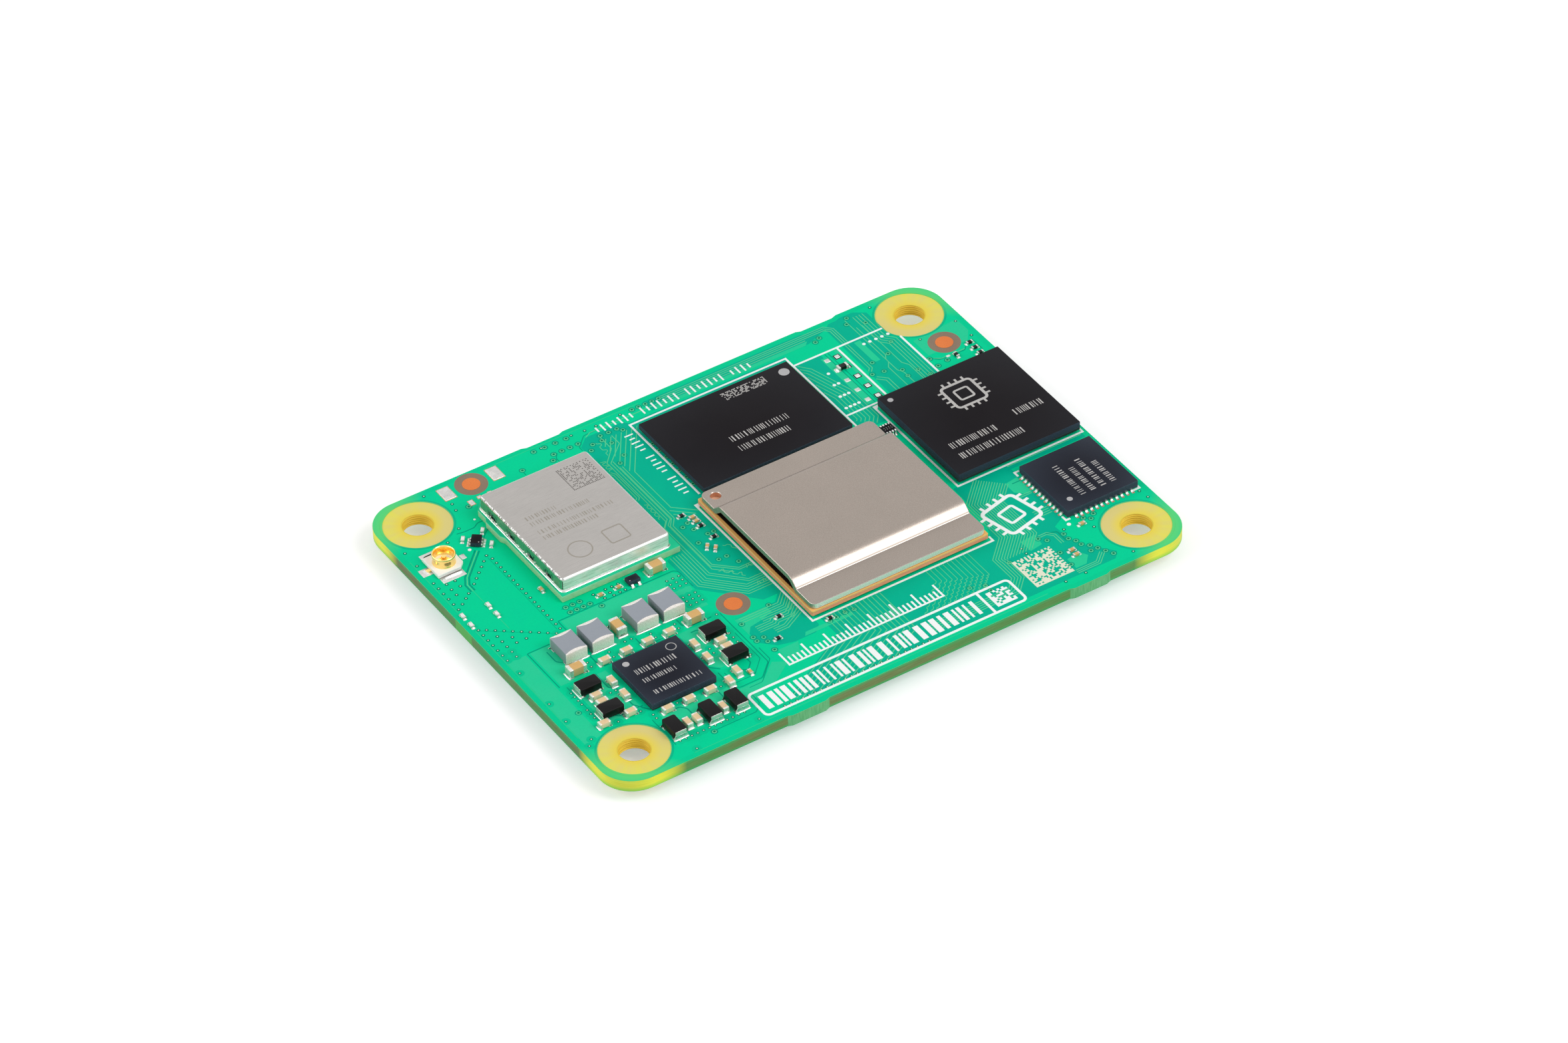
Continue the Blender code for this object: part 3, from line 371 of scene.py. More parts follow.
def joinRows(bm, rows, index=0, around=False):
    # Faces between rows of vertices of the same count
    for a, b in zip(rows, rows[1:]):
        for i in range(len(a) if around else len(a) - 1):
            j = (i + 1) % len(a)
            bm.faces.new((a[i], a[j], b[j], b[i])).material_index = index


ribbonNumber = itertools.count()


def ribbon(bm, points, width, low, high, index=0, closed=False, shoulder=0.02):
    # Each ribbon lies a hair above or below the others, so that crossings stay clean
    high += 0.005 * (next(ribbonNumber) * 0.618 % 1)
    half = width / 2
    sides = [offsetLine(points, away, closed) for away in (half, half - shoulder, shoulder - half, -half)]
    rows = []
    for row in zip(*sides):
        rows.append([bm.verts.new((*place, z)) for place, z in zip(row, (low, high, high, low))])
    joinRows(bm, rows + rows[:1] if closed else rows, index)
    if not closed:
        for row in (rows[0], rows[-1]):
            bm.faces.new(row).material_index = index


def clipLine(points, inside):
    # The stretches of a line that lie in a rectangle, without the shortest
    x0, y0, x1, y1 = inside
    pieces = [[]]
    for a, b in zip(points, points[1:]):
        first, last = 0.0, 1.0
        dx, dy = b[0] - a[0], b[1] - a[1]
        for step, room in ((-dx, a[0] - x0), (dx, x1 - a[0]), (-dy, a[1] - y0), (dy, y1 - a[1])):
            if abs(step) < 1e-9:
                last = last if room >= 0 else -1.0
            elif step < 0:
                first = max(first, room / step)
            else:
                last = min(last, room / step)
        if first > 0 or first >= last:
            pieces.append([])
        if first < last:
            for share in (last,) if pieces[-1] else (first, last):
                pieces[-1].append((a[0] + dx * share, a[1] + dy * share))
            if last < 1:
                pieces.append([])
    return [p for p in pieces if sum(math.dist(a, b) for a, b in zip(p, p[1:])) > 0.15]


def bundle(bm, points, count, pitch, width, low, high, inside=None):
    # Parallel lines, each further to the right of the first
    for i in range(count):
        line = offsetLine(points, -pitch * i)
        for piece in clipLine(line, inside) if inside else [line]:
            ribbon(bm, piece, width, low, high)


def serpentine(start, end, swing, turns):
    # A meandering line about the straight one
    a, b = Vector(start), Vector(end)
    along = b - a
    side = Vector((-along.y, along.x)).normalized() * swing
    points = [tuple(a)]
    for i in range(turns):
        for share, sign in ((i + 0.15, 0), (i + 0.25, 1), (i + 0.5, 1), (i + 0.6, 0)):
            points.append(tuple(a + along * (share / turns) + side * sign))
    points.append(tuple(b))
    return roundLine(points, 0.1, 3)


def fillLoops(bm, loops, low, high):
    # A flat plate between two heights with an outer edge and any holes
    part = bmesh.new()
    edges = []
    for loop in loops:
        verts = [part.verts.new((x, y, high)) for x, y in loop]
        edges += [part.edges.new((verts[i], verts[(i + 1) % len(verts)])) for i in range(len(verts))]
    bmesh.ops.triangle_fill(part, edges=edges, use_beauty=True)
    lower = bmesh.ops.extrude_face_region(part, geom=part.faces[:])["geom"]
    lower = [v for v in lower if isinstance(v, bmesh.types.BMVert)]
    bmesh.ops.translate(part, vec=(0, 0, low - high), verts=lower)
    addPart(bm, part)


def rectPoints(x0, y0, x1, y1, radius=0.0, steps=6):
    if not radius:
        return [(x0, y0), (x1, y0), (x1, y1), (x0, y1)]
    points = []
    left, low, right, high = x0 + radius, y0 + radius, x1 - radius, y1 - radius
    for quarter, (x, y) in enumerate(((right, high), (left, high), (left, low), (right, low))):
        for i in range(steps + 1):
            a = math.pi / 2 * (quarter + i / steps)
            points.append((x + radius * math.cos(a), y + radius * math.sin(a)))
    return points


def atHeight(points, z):
    return [(x, y, z) for x, y in points]


def boardEdge(inset=0.0):
    # The board's outline with its tab stubs in front and its shallow recesses behind
    x, y, radius = edgeX - inset, edgeY - inset, cornerRadius - inset
    points = []
    for sideX, sideY, turn in ((1, 1, 0), (-1, 1, 1), (-1, -1, 2), (1, -1, 3)):
        for i in range(13):
            a = math.pi / 2 * (turn + i / 12)
            points.append((sideX * (x - radius) + radius * math.cos(a),
                           sideY * (y - radius) + radius * math.sin(a)))
        if turn in (0, 2):
            tabs, edge, way = (boardStyle["recesses"], y, -1) if turn == 0 else (boardStyle["tabs"], -y, 1)
            for tab in tabs:
                half, slope = boardStyle["tabHalf"] * way, boardStyle["tabSlope"] * way
                low = edge - boardStyle["tabStep"]
                points += [(tab - half, edge), (tab - half + slope, low), (tab + half - slope, low)]
                points.append((tab + half, edge))
    return points


def loft(bm, loops, index=0, capped=True):
    # Joins rings of points that have the same count
    rings = [[bm.verts.new(point) for point in loop] for loop in loops]
    joinRows(bm, rings, index, around=True)
    if capped:
        bm.faces.new(rings[0][::-1]).material_index = index
        bm.faces.new(rings[-1]).material_index = index


def cutOut(obj, cutter, smooth=35):
    # Takes the cutter's shape out of the piece and removes the cutter
    boolean = obj.modifiers.new("cut", "BOOLEAN")
    boolean.object = cutter
    boolean.solver = "EXACT"
    bpy.context.view_layer.update()
    graph = bpy.context.evaluated_depsgraph_get()
    mesh = bpy.data.meshes.new_from_object(obj.evaluated_get(graph))
    obj.modifiers.clear()
    old = obj.data
    obj.data = mesh
    bpy.data.meshes.remove(old)
    bpy.data.objects.remove(cutter)
    mesh.set_sharp_from_angle(angle=math.radians(smooth))


def solderMound(bm, x, y, z, direction, width, reach, height, index=0):
    # A concave fillet that climbs an end face: direction is its angle in the board's plane
    out = Vector((math.cos(direction), math.sin(direction), 0))
    side = Vector((-out.y, out.x, 0))
    rows = []
    flank = ((0.58, 0.0), (0.53, 0.42), (0.44, 0.86))
    for across, share in [(-a, s) for a, s in flank] + [(0, 1.0)] + list(flank[::-1]):
        row = [Vector((x, y, z)) - out * 0.02 + side * across * width]
        row[0].z += height * share
        for i in range(1, 6):
            t = i / 5
            away = out * reach * (t**1.3) * (0.75 + 0.25 * share)
            point = Vector((x, y, z)) + away + side * across * width
            point.z += height * share * (1 - t) ** 1.8
            row.append(point)
        rows.append([bm.verts.new(point) for point in row])
    joinRows(bm, rows, index)


# Board
boardStyle = {
    "maskThickness": 0.03,
    "annulus": 2.9,
    "clearance": 3.12,
    "holeRadius": 1.35,
    "threadPitch": 0.2,
    "threadDepth": 0.07,
    "tabs": (-10.0, 17.0),
    "recesses": (16.85, -10.05),
    "tabHalf": 2.0,
    "tabSlope": 0.45,
    "tabStep": 0.17,
    "laminate": {"rough": 0.5, "grains": 9, "bump": 0.3, "depth": 0.015, "specular": 0.25},
}
# Each solder mask's colour, its tone and its shine
maskLooks = {
    "laminateDark": ((0, 182, 148), (0, 190, 150), 0.04),
    "plane": ((0, 213, 155), (0, 218, 152), 0.04),
    "light": ((46, 210, 156), (28, 212, 154), 0.04),
    "halo": ((4, 205, 150), (0, 198, 144), 0.04),
    "rim": ((0, 208, 152), (6, 214, 146), 0.04),
    "ring": ((6, 186, 140), (14, 196, 146), 0.04),
    "groove": ((0, 158, 126), (0, 168, 134), 0.04),
    # Painted shade for the dark beads and middles of the plated holes
    "shadow": ((0, 124, 92), (0, 136, 102), 0.04),
    "trace": ((98, 210, 154), (78, 208, 152), 0.06),
    "edgeLine": ((122, 206, 146), (96, 210, 148), 0.06),
    "faint": ((48, 212, 150), (24, 212, 150), 0.05),
    # A painted highlight on top of each plain plated hole
    "paintedHighlight": ((206, 244, 214), (170, 232, 186), 0.3),
}


def cornerDistance(tree):
    # Distance in the board's plane from the nearest screw hole's centre
    parts = placeParts(tree)
    across = mathNode(tree, "SUBTRACT", absolute(tree, parts["X"]), screwX)
    along = mathNode(tree, "SUBTRACT", absolute(tree, parts["Y"]), screwY)
    flat = addNode(tree, "CombineXYZ", {"X": across, "Y": along}).outputs[0]
    return vectorNode(tree, "LENGTH", flat, output="Value"), parts, flat


def cornerward(tree, flat):
    # 0 on the side of a screw hole that faces the board's middle, 1 towards its corner
    return spread(tree, vectorNode(tree, "DOT_PRODUCT", flat, (0.7, 0.7, 0.0), "Value"), -2.2, 2.6)


def paintMask(tree, sockets):
    # Light from the bare laminate shows through the mask at the board's corners
    distance, parts, flat = cornerDistance(tree)
    near = spread(tree, distance, 3.0, 5.2, 1, 0)
    cover(tree, sockets, times(tree, near, spread(tree, cornerward(tree, flat), 0.55, 1.0, 0, 0.9)),
          (104, 222, 124))


def paintLaminate(tree, sockets):
    # Bare laminate is lime near the screw holes, milky on the tab stubs and olive over inner copper
    distance, parts, flat = cornerDistance(tree)
    place = placeMm(tree)
    layers = noiseMask(tree, place, (0.5, 0.5, 17.0), 4.0, 0.36, 0.64)
    patch = noiseMask(tree, place, (0.13, 0.13, 0.13), 1.0, 0.44, 0.56)
    brownish = mixColor(tree, layers, (98, 122, 62), (124, 140, 86))
    olive = mixColor(tree, patch, brownish, mixColor(tree, layers, (78, 142, 68), (104, 152, 84)))
    height = mathNode(tree, "SUBTRACT", parts["Z"], (topZ + bottomZ) / 2)
    olive = mixColor(tree, spread(tree, height, 0.24, 0.5, 0, 0.9), olive, (50, 178, 104))
    olive = mixColor(tree, spread(tree, height, -0.24, -0.42, 0, 0.9), olive, (62, 168, 86))
    # On the left side one place is greener, and the whole of it is painted darker, a painted shade
    greener = below(tree, absolute(tree, parts["Y"], 3.55), 1.25)
    onLeft = below(tree, parts["X"], 0.05 - edgeX)
    olive = mixColor(tree, times(tree, greener, onLeft), olive, (86, 192, 84))
    olive = mixColor(tree, onLeft, olive, mixColor(tree, 1.0, olive, (0.8, 0.8, 0.8, 1), "MULTIPLY"))
    yellow = mixColor(tree, layers, (236, 242, 62), (248, 252, 80))
    yellow = mixColor(tree, spread(tree, height, -0.1, -0.45, 0, 0.8), yellow, (146, 226, 78))
    side = mixColor(tree, spread(tree, distance, 3.5, 4.4, 1, 0), olive, yellow)
    onTab = mathNode(tree, "MINIMUM", *[absolute(tree, parts["X"], tab) for tab in boardStyle["tabs"]])
    frayed = noiseMask(tree, place, (7.0, 7.0, 1.1), 3.0, 0.35, 0.65)
    frayed = mixColor(tree, frayed, (88, 176, 112), (110, 190, 128))
    side = mixColor(tree, below(tree, onTab, 1.95), side, frayed)
    inHole = below(tree, distance, 1.6)
    side = mixColor(tree, inHole, side, mixColor(tree, layers, (252, 222, 82), (230, 192, 58)))
    # The bare ring is yellow by the hole and towards the corner, with soft rays across it
    rays = noiseMask(tree, vectorNode(tree, "NORMALIZE", flat), (3.2, 3.2, 1.0), 3.0, 0.35, 0.65)
    lime = times(tree, cornerward(tree, flat), spread(tree, rays, 0, 1, 0.55, 1.1), True)
    top = mixColor(tree, lime, (226, 210, 130), (234, 226, 92))
    top = mixColor(tree, spread(tree, distance, 1.4, 2.2, 0.85, 0), top, (240, 216, 70))
    level = above(tree, absolute(tree, facingParts(tree)["Z"]), 0.8)
    sockets["color"] = mixColor(tree, level, side, top)


laminateMaterial = makeMaterial("bare laminate", boardStyle["laminate"], paintLaminate)
maskMaterials = {}
for key, (color, tone, shine) in maskLooks.items():
    look = surface(color, tone, 0.4, 5, 0.05, shade=0.02, specular=shine)
    maskMaterials[key] = makeMaterial("solder mask " + key, look, paintMask)


def masks(*keys):
    return [maskMaterials[key] for key in keys]


def buildBoard():
    thick, radius = boardStyle["maskThickness"], boardStyle["holeRadius"]
    bm = bmesh.new()
    low, high = bottomZ + thick, topZ - thick
    fillLoops(bm, [boardEdge()] + [ringPoints(x, y, radius, 64) for x, y in screwPlaces], low, high)
    boardPiece("laminate_core", bm, [laminateMaterial])
    # The drill left fine grooves in the holes' walls
    bm = bmesh.new()
    outer = radius + 0.01
    steps = int((topZ - bottomZ - 2 * thick) / boardStyle["threadPitch"] * 4)
    profile = [(outer, low)]
    for i in range(steps + 1):
        z = low + (topZ - bottomZ - 2 * thick) * i / steps
        profile.append((radius - boardStyle["threadDepth"] * (0.5 + 0.5 * math.sin(i * math.pi / 2)), z))
    profile.append((outer, profile[-1][1]))
    for x, y in screwPlaces:
        lathe(bm, profile, 64, 0, (x, y, 0), closed=True)
    boardPiece("hole_grooves", bm, [laminateMaterial])
    rings = [ringPoints(x, y, boardStyle["annulus"], 72) for x, y in screwPlaces]
    for name, low, high in (("mask_top", topZ - thick, topZ), ("mask_bottom", bottomZ, bottomZ + thick)):
        bm = bmesh.new()
        fillLoops(bm, [boardEdge(0.01)] + rings, low, high)
        boardPiece(name, bm, masks("plane"))


# Areas of the top side where copper is missing, as outlines in millimetres
darkAreas = [
    [(-7.9, 17.3), (-6.9, 18.2), (-3.4, 18.2), (-3.0, 17.75), (12.3, 17.75), (12.3, 17.2), (-2.5, 17.2),
     (-2.5, 6.2), (-4.0, 5.9), (-4.0, -7.2), (-5.9, -7.2), (-9.75, -3.0), (-9.75, 1.2), (-8.2, 1.9),
     (-7.9, 6.5)],
    [(-4.0, -6.6), (-5.3, -7.95), (-9.1, -7.95), (-9.1, -11.4), (-8.0, -12.5), (-6.6, -12.9),
     (-4.6, -12.9), (-3.9, -12.2)],
    [(-10.6, -19.0), (-10.6, -18.2), (-3.4, -14.05), (-3.4, -11.5), (13.3, -11.5), (14.2, -9.0),
     (14.3, -4.4), (27.0, -4.4), (27.0, -5.0), (19.6, -5.0), (19.5, -12.4), (18.4, -13.0), (18.6, -15.6),
     (20.8, -18.3), (20.2, -19.0)],
    [(12.35, 16.2), (14.9, 16.2), (14.9, 6.0), (12.35, 6.0)],
    [(17.1, 18.8), (17.9, 19.5), (20.2, 19.5), (21.2, 18.8), (21.2, 14.8), (21.8, 14.2), (21.8, 8.4),
     (16.9, 8.4)],
    [(-0.5, 19.45), (16.9, 19.45), (17.5, 19.0), (15.0, 18.05), (-0.5, 18.05)],
]
lightAreas = [
    [(-20.7, -0.25), (-10.2, -0.25), (-9.9, -0.6), (-9.9, -2.9), (-9.9, -5.2), (-20.7, -5.2)],
    [(-24.8, -2.2), (-22.4, -2.2), (-22.4, -6.9), (-24.8, -6.9)],
    [(18.1, 16.0), (18.7, 16.0), (18.7, 12.9), (18.1, 12.9)],
    [(-5.3, -12.4), (-1.0, -12.4), (-1.0, -12.8), (-5.6, -12.8)],
    [(-26.9, -2.2), (-25.2, -2.2), (-25.2, -13.6), (-26.3, -13.8), (-26.9, -14.8)],
    [(22.3, 13.4), (26.9, 13.8), (26.9, 12.0), (26.1, 10.9), (22.3, 11.1)],
    [(0.0, 18.0), (14.6, 18.0), (15.0, 18.4), (0.0, 18.4)],
    [(16.9, -16.9), (18.2, -16.7), (18.6, -17.4), (17.9, -18.2), (16.9, -18.2)],
    [(-24.2, -7.3), (-20.9, -7.3), (-20.9, -12.6), (-21.4, -13.1), (-24.2, -13.1)],
    [(-20.2, -13.9), (-14.1, -13.9), (-13.6, -14.6), (-13.6, -15.9), (-14.4, -17.2), (-20.2, -17.2)],
    [(-13.9, -6.9), (-10.9, -6.9), (-10.9, -12.2), (-13.2, -12.2), (-13.9, -11.4)],
    [(18.1, -6.3), (19.4, -6.1), (19.4, -8.3), (18.9, -8.3), (18.1, -7.6)],
    [(15.0, -13.0), (16.5, -12.9), (16.3, -14.2), (15.1, -14.4)],
    [(-13.4, -15.2), (-11.0, -15.2), (-9.5, -13.9), (-8.4, -14.6), (-10.7, -16.2), (-13.4, -16.9)],
    [(-9.2, -8.0), (-6.2, -8.0), (-6.2, -8.8), (-7.4, -9.2), (-8.6, -9.4), (-9.2, -10.2)],
    [(-8.3, -13.0), (-6.4, -13.0), (-7.2, -14.6), (-8.3, -14.2)],
    [(14.6, 15.7), (15.25, 15.7), (15.25, 8.6), (14.6, 8.6)],
    [(16.1, 16.1), (16.45, 16.1), (16.45, 8.9), (16.1, 8.9)],
]
edgeLines = [
    [(-15.9, 19.5), (-1.0, 19.5)],
    [(-20.3, -19.5), (13.2, -19.5)],
    [(-26.95, 12.8), (-26.95, 5.3)],
    [(-26.95, 2.6), (-26.95, -12.9)],
    [(-24.55, 8.0), (-24.55, 5.0)],
    [(-24.55, 4.25), (-24.55, 3.65)],
    [(-24.55, 2.95), (-24.55, 1.35)],
]
whole = (-27.0, -19.3, 27.0, 19.5)
processorFrame = -11.6
traceWidth = 0.1
# Each bundle: the first line's corners, how many lines if more than one, their pitch, and where they may run
traceBundles = [
    ([(-2.6, 17.1), (-5.9, 12.2), (-5.9, 6.7), (-4.1, 5.0)], 8, 0.42, (-6.2, 4.9, -2.6, 17.1)),
    ([(-5.0, 17.2), (-5.0, 16.0), (-6.95, 14.2), (-6.95, 5.6), (-7.75, 4.7), (-7.75, -2.0), (-5.5, -4.35),
      (-4.1, -4.35)],),
    ([(-5.9, 17.6), (-5.9, 15.8), (-7.2, 14.4), (-7.2, 5.4), (-8.0, 4.5), (-8.0, -2.1), (-5.6, -4.6),
      (-4.1, -4.6)],),
    ([(-6.7, 14.3), (-6.7, 5.5), (-7.3, 4.9), (-7.3, -1.7), (-6.0, -3.0)],),
    ([(-6.4, 13.3), (-6.4, 5.4), (-7.0, 4.6), (-7.0, -1.2), (-5.4, -2.75), (-4.1, -2.75)], 2, 0.22),
    ([(-8.3, 1.3), (-8.3, -2.4), (-6.0, -4.85), (-4.1, -4.85)], 5, 0.27),
    ([(-7.6, 13.2), (-7.35, 12.8), (-7.35, 9.2), (-7.6, 8.9)], 2, 0.22),
    ([(-8.9, -8.15), (-5.2, -8.15), (-4.05, -7.0)], 3, 0.25, (-8.9, -12.0, -4.05, -7.0)),
    ([(-7.4, -8.9), (-4.95, -8.9), (-4.05, -8.0)], 3, 0.25),
    ([(-8.3, -9.65), (-6.9, -9.65), (-6.7, -9.45), (-5.3, -9.45), (-4.05, -8.3)], 4, 0.25,
     (-8.9, -12.0, -4.05, -7.0)),
    ([(-7.2, -10.65), (-6.2, -10.65), (-4.05, -9.5)], 3, 0.25),
    ([(-10.4, -18.3), (-3.0, -14.0), (-3.0, processorFrame)], 14, 0.4, (-10.4, -19.0, 3.2, processorFrame)),
    ([(3.0, -17.2), (11.0, -17.2), (11.9, -16.3), (11.9, -14.2)], 5, 0.24),
    ([(11.9, -14.2), (11.9, -13.6), (13.9, -11.6), (13.9, -6.8), (16.3, -4.4)], 14, 0.22,
     (11.0, -14.2, 21.0, -4.4)),
    ([(27.0, -4.55), (17.0, -4.55)], 2, 0.2, (19.5, -5.0, 26.8, -4.4)),
    ([(12.5, 16.1), (13.3, 15.1), (14.5, 11.0), (14.5, 6.9), (13.9, 6.2)], 6, 0.34,
     (12.45, 6.1, 14.8, 16.1)),
    ([(17.55, 16.2), (17.55, 12.4), (17.2, 12.0)], 2, 0.24),
    ([(19.1, 18.9), (19.1, 12.3), (18.7, 11.7), (18.7, 8.6)],),
    ([(19.4, 17.6), (19.4, 13.2), (19.1, 12.7), (19.1, 11.0), (19.4, 10.4), (19.4, 8.6)],),
    ([(19.95, 17.6), (19.95, 11.6), (20.3, 11.0), (20.3, 8.6)],),
    ([(20.8, 18.9), (20.8, 15.3), (21.4, 14.6), (21.4, 8.6)], 4, 0.3),
    ([(17.2, 11.2), (17.9, 10.5), (17.9, 8.6)], 2, 0.3),
    ([(0.9, 19.25), (17.1, 19.25), (17.75, 18.6), (17.75, 16.4)], 3, 0.22),
    ([(-6.9, 18.2), (-6.3, 18.55), (14.9, 18.55)],),
    ([(16.7, -18.4), (18.7, -18.4), (19.6, -17.6)], 3, 0.2),
    ([(16.6, -13.2), (17.4, -13.2), (17.9, -13.8), (17.9, -15.0)], 2, 0.22),
    ([(19.3, -8.4), (17.9, -8.4)], 2, 0.2),
    ([(19.3, -11.3), (17.9, -11.3)], 4, 0.26),
    ([(22.4, 10.55), (23.0, 10.15), (25.3, 10.15)],),
]
# Tuned lines in front of the processor: place of the first, how many, and how they lie
tunedLines = {"foot": (3.7, -16.2), "bend": (6.7, -13.2), "count": 11, "pitch": 0.4, "swing": 0.13,
              "turns": 6}
serpentines = [
    ((-6.6, 17.1), (-6.6, 15.2), 0.3, 2),
    ((-7.6, 14.8), (-7.6, 13.3), 0.4, 3),
    ((-7.5, 8.2), (-7.5, 5.9), 0.22, 4),
    ((-7.0, -2.2), (-5.5, -3.9), 0.3, 3),
    ((-5.0, 0.3), (-4.2, -0.7), 0.25, 1),
    ((-4.9, -3.1), (-4.2, -3.1), 0.35, 1),
    ((-5.3, -5.4), (-4.2, -5.4), 0.35, 2),
]
grooves = [
    ([(-20.9, -1.4), (-20.9, -0.12), (-10.0, -0.1), (-9.7, -0.4), (-9.7, -2.6)], 0.1),
    ([(-25.0, -7.0), (-25.0, -2.1), (-22.9, -2.1)], 0.09),
    ([(-24.5, -7.3), (-24.5, -12.3)], 0.07),
    ([(-13.7, -12.6), (-13.7, -14.6), (-13.2, -15.05), (-11.1, -15.05), (-9.7, -13.7), (-9.7, -6.6)], 0.08),
    ([(-13.3, -12.9), (-13.3, -14.4), (-11.4, -14.4), (-10.0, -13.0), (-10.0, -9.3)], 0.06),
    ([(-12.6, -15.5), (-11.4, -15.5), (-9.4, -13.5), (-9.4, -11.9)], 0.07),
    ([(-17.6, -18.2), (-13.7, -18.2), (-12.9, -17.4), (-12.9, -16.3)], 0.07),
    ([(-21.0, -14.4), (-21.0, -17.9)], 0.07),
    ([(-13.45, 17.3), (-13.45, 16.9)], 0.07),
    ([(-9.9, 17.8), (-10.3, 17.3), (-10.3, 16.8)], 0.07),
    ([(-8.0, 16.9), (-8.0, 17.4), (-6.9, 18.5), (-3.4, 18.6)], 0.08),
    ([(-22.0, 13.7), (-21.3, 13.6), (-20.4, 13.6), (-19.9, 13.95), (-19.4, 13.95)], 0.09),
    ([(-19.4, 12.9), (-19.9, 12.6), (-20.6, 11.9)], 0.09),
    ([(-21.4, -1.6), (-27.0, 2.7)], 0.03),
    ([(-21.45, 9.8), (-21.45, -0.9)], 0.03),
    ([(22.3, 10.6), (22.8, 10.1), (23.4, 10.1)], 0.1),
    ([(24.5, 10.0), (25.2, 10.0), (25.6, 10.4)], 0.08),
    ([(26.5, 10.9), (26.5, 9.2)], 0.06),
    ([(-19.9, 0.95), (-18.0, 0.95)], 0.05),
    ([(15.25, 16.1), (15.25, 8.6)], 0.07),
    ([(15.55, 16.1), (15.55, 8.6)], 0.07),
    ([(17.3, -13.3), (18.2, -13.6), (18.2, -14.9)], 0.16),
    ([(19.5, -6.6), (18.6, -6.6)], 0.1),
    ([(-24.9, -8.6), (-23.7, -8.6), (-23.3, -9.0), (-23.3, -12.0), (-22.9, -12.5), (-20.7, -12.5)], 0.1),
    ([(-21.8, -7.2), (-21.8, -9.2), (-21.3, -9.6), (-21.3, -12.0), (-20.5, -13.2), (-19.0, -13.5)], 0.12),
    ([(-20.7, -6.8), (-14.6, -6.8), (-14.0, -7.3), (-14.0, -11.6), (-13.3, -12.3)], 0.1),
    ([(-19.3, -14.3), (-18.4, -14.3), (-18.0, -14.8), (-18.0, -16.4), (-17.6, -16.9), (-16.4, -16.9)],
     0.12),
    ([(-16.2, -14.0), (-15.3, -14.0), (-14.9, -14.5), (-14.9, -16.6), (-14.2, -17.2)], 0.1),
    ([(-12.9, -7.3), (-12.3, -7.3), (-11.9, -7.8), (-11.9, -9.3), (-11.4, -9.8), (-10.9, -9.8)], 0.12),
    ([(-12.6, -12.6), (-12.2, -13.3), (-11.5, -13.6), (-10.9, -13.0), (-10.9, -11.4)], 0.1),
    ([(-23.6, -2.8), (-23.6, -4.2), (-23.2, -4.6), (-21.4, -4.6), (-21.0, -5.0), (-21.0, -6.6)], 0.1),
    ([(-16.9, -5.4), (-16.9, -6.3), (-16.3, -6.6), (-13.9, -6.6)], 0.1),
    ([(-13.0, -5.3), (-13.0, -6.2), (-12.4, -6.6), (-10.5, -6.6)], 0.1),
]


def buildCopper():
    areaLow = topZ - 0.01
    bm = bmesh.new()
    for number, area in enumerate(darkAreas):
        fillLoops(bm, [area], areaLow, topZ + 0.002 + 0.0003 * number)
    boardPiece("bare_laminate_areas", bm, masks("laminateDark"))
    bm = bmesh.new()
    for number, area in enumerate(lightAreas):
        fillLoops(bm, [area], areaLow, topZ + 0.0042 + 0.0002 * number)
    # The mask is thicker, and so darker, round the plated holes of the power corner
    halos = [(x, y) for x, y in rowPlaces(viaRows) + viaSingles if x < -9.5 and y < -1.0]
    for number, (x, y) in enumerate(halos):
        addDisc(bm, x, y, 0.4, areaLow, topZ + 0.0079 + 0.0001 * (number % 6), 1, 20)
    boardPiece("copper_areas", bm, masks("light", "halo"))
    bm = bmesh.new()
    ribbon(bm, boardEdge(0.27), 0.5, areaLow, topZ + 0.004, closed=True, shoulder=0.01)
    boardPiece("edge_margin", bm, masks("rim"))
    bm = bmesh.new()
    for line in edgeLines:
        ribbon(bm, roundLine(line, 0.3), traceWidth, areaLow, topZ + 0.01)
    boardPiece("plane_edges", bm, masks("faint"), 25)
    bm = bmesh.new()
    high = topZ + 0.014
    for points, *rest in traceBundles:
        count, pitch, inside = [*rest, *(1, 1, whole)[len(rest):]]
        bundle(bm, points, count, pitch, traceWidth, areaLow, high, inside)
    for start, end, swing, turns in serpentines:
        ribbon(bm, serpentine(start, end, swing, turns), 0.09, areaLow, high)
    pitch = tunedLines["pitch"]
    for i in range(tunedLines["count"]):
        foot = Vector(tunedLines["foot"]) + Vector((pitch * math.sqrt(2) * i, 0))
        bend = Vector(tunedLines["bend"]) + Vector((pitch, pitch * (1 - math.sqrt(2)))) * i
        line = serpentine(foot, bend, tunedLines["swing"], tunedLines["turns"])
        ribbon(bm, line + [(bend.x, processorFrame)], 0.08, areaLow, high)
    boardPiece("traces", bm, masks("trace"), 25)
    bm = bmesh.new()
    for points, width in grooves:
        ribbon(bm, roundLine(points, 0.15), width, areaLow, topZ + 0.009, shoulder=0.005)
    # A bright line and a dark gap go round each bare ring
    inner, outer = boardStyle["annulus"], boardStyle["clearance"]
    for x, y in screwPlaces:
        for index, end in ((1, outer), (2, inner + 0.05)):
            line = ringPoints(x, y, (inner + end) / 2, 72)
            ribbon(bm, line, end - inner, areaLow, topZ + (0.008 + 0.004 * index), index, True, 0.01)
    # The antenna feed is a strip between two gaps
    feedLine = [(-21.7, 11.0), (-24.1, 8.6), (-24.55, 7.8), (-24.55, 6.9)]
    for side in (-0.17, 0.17):
        ribbon(bm, offsetLine(feedLine, side), 0.14, areaLow, topZ + 0.008, shoulder=0.005)
    ribbon(bm, feedLine, 0.07, areaLow, topZ + 0.012, 2)
    boardPiece("copper_gaps", bm, masks("groove", "ring", "edgeLine"))


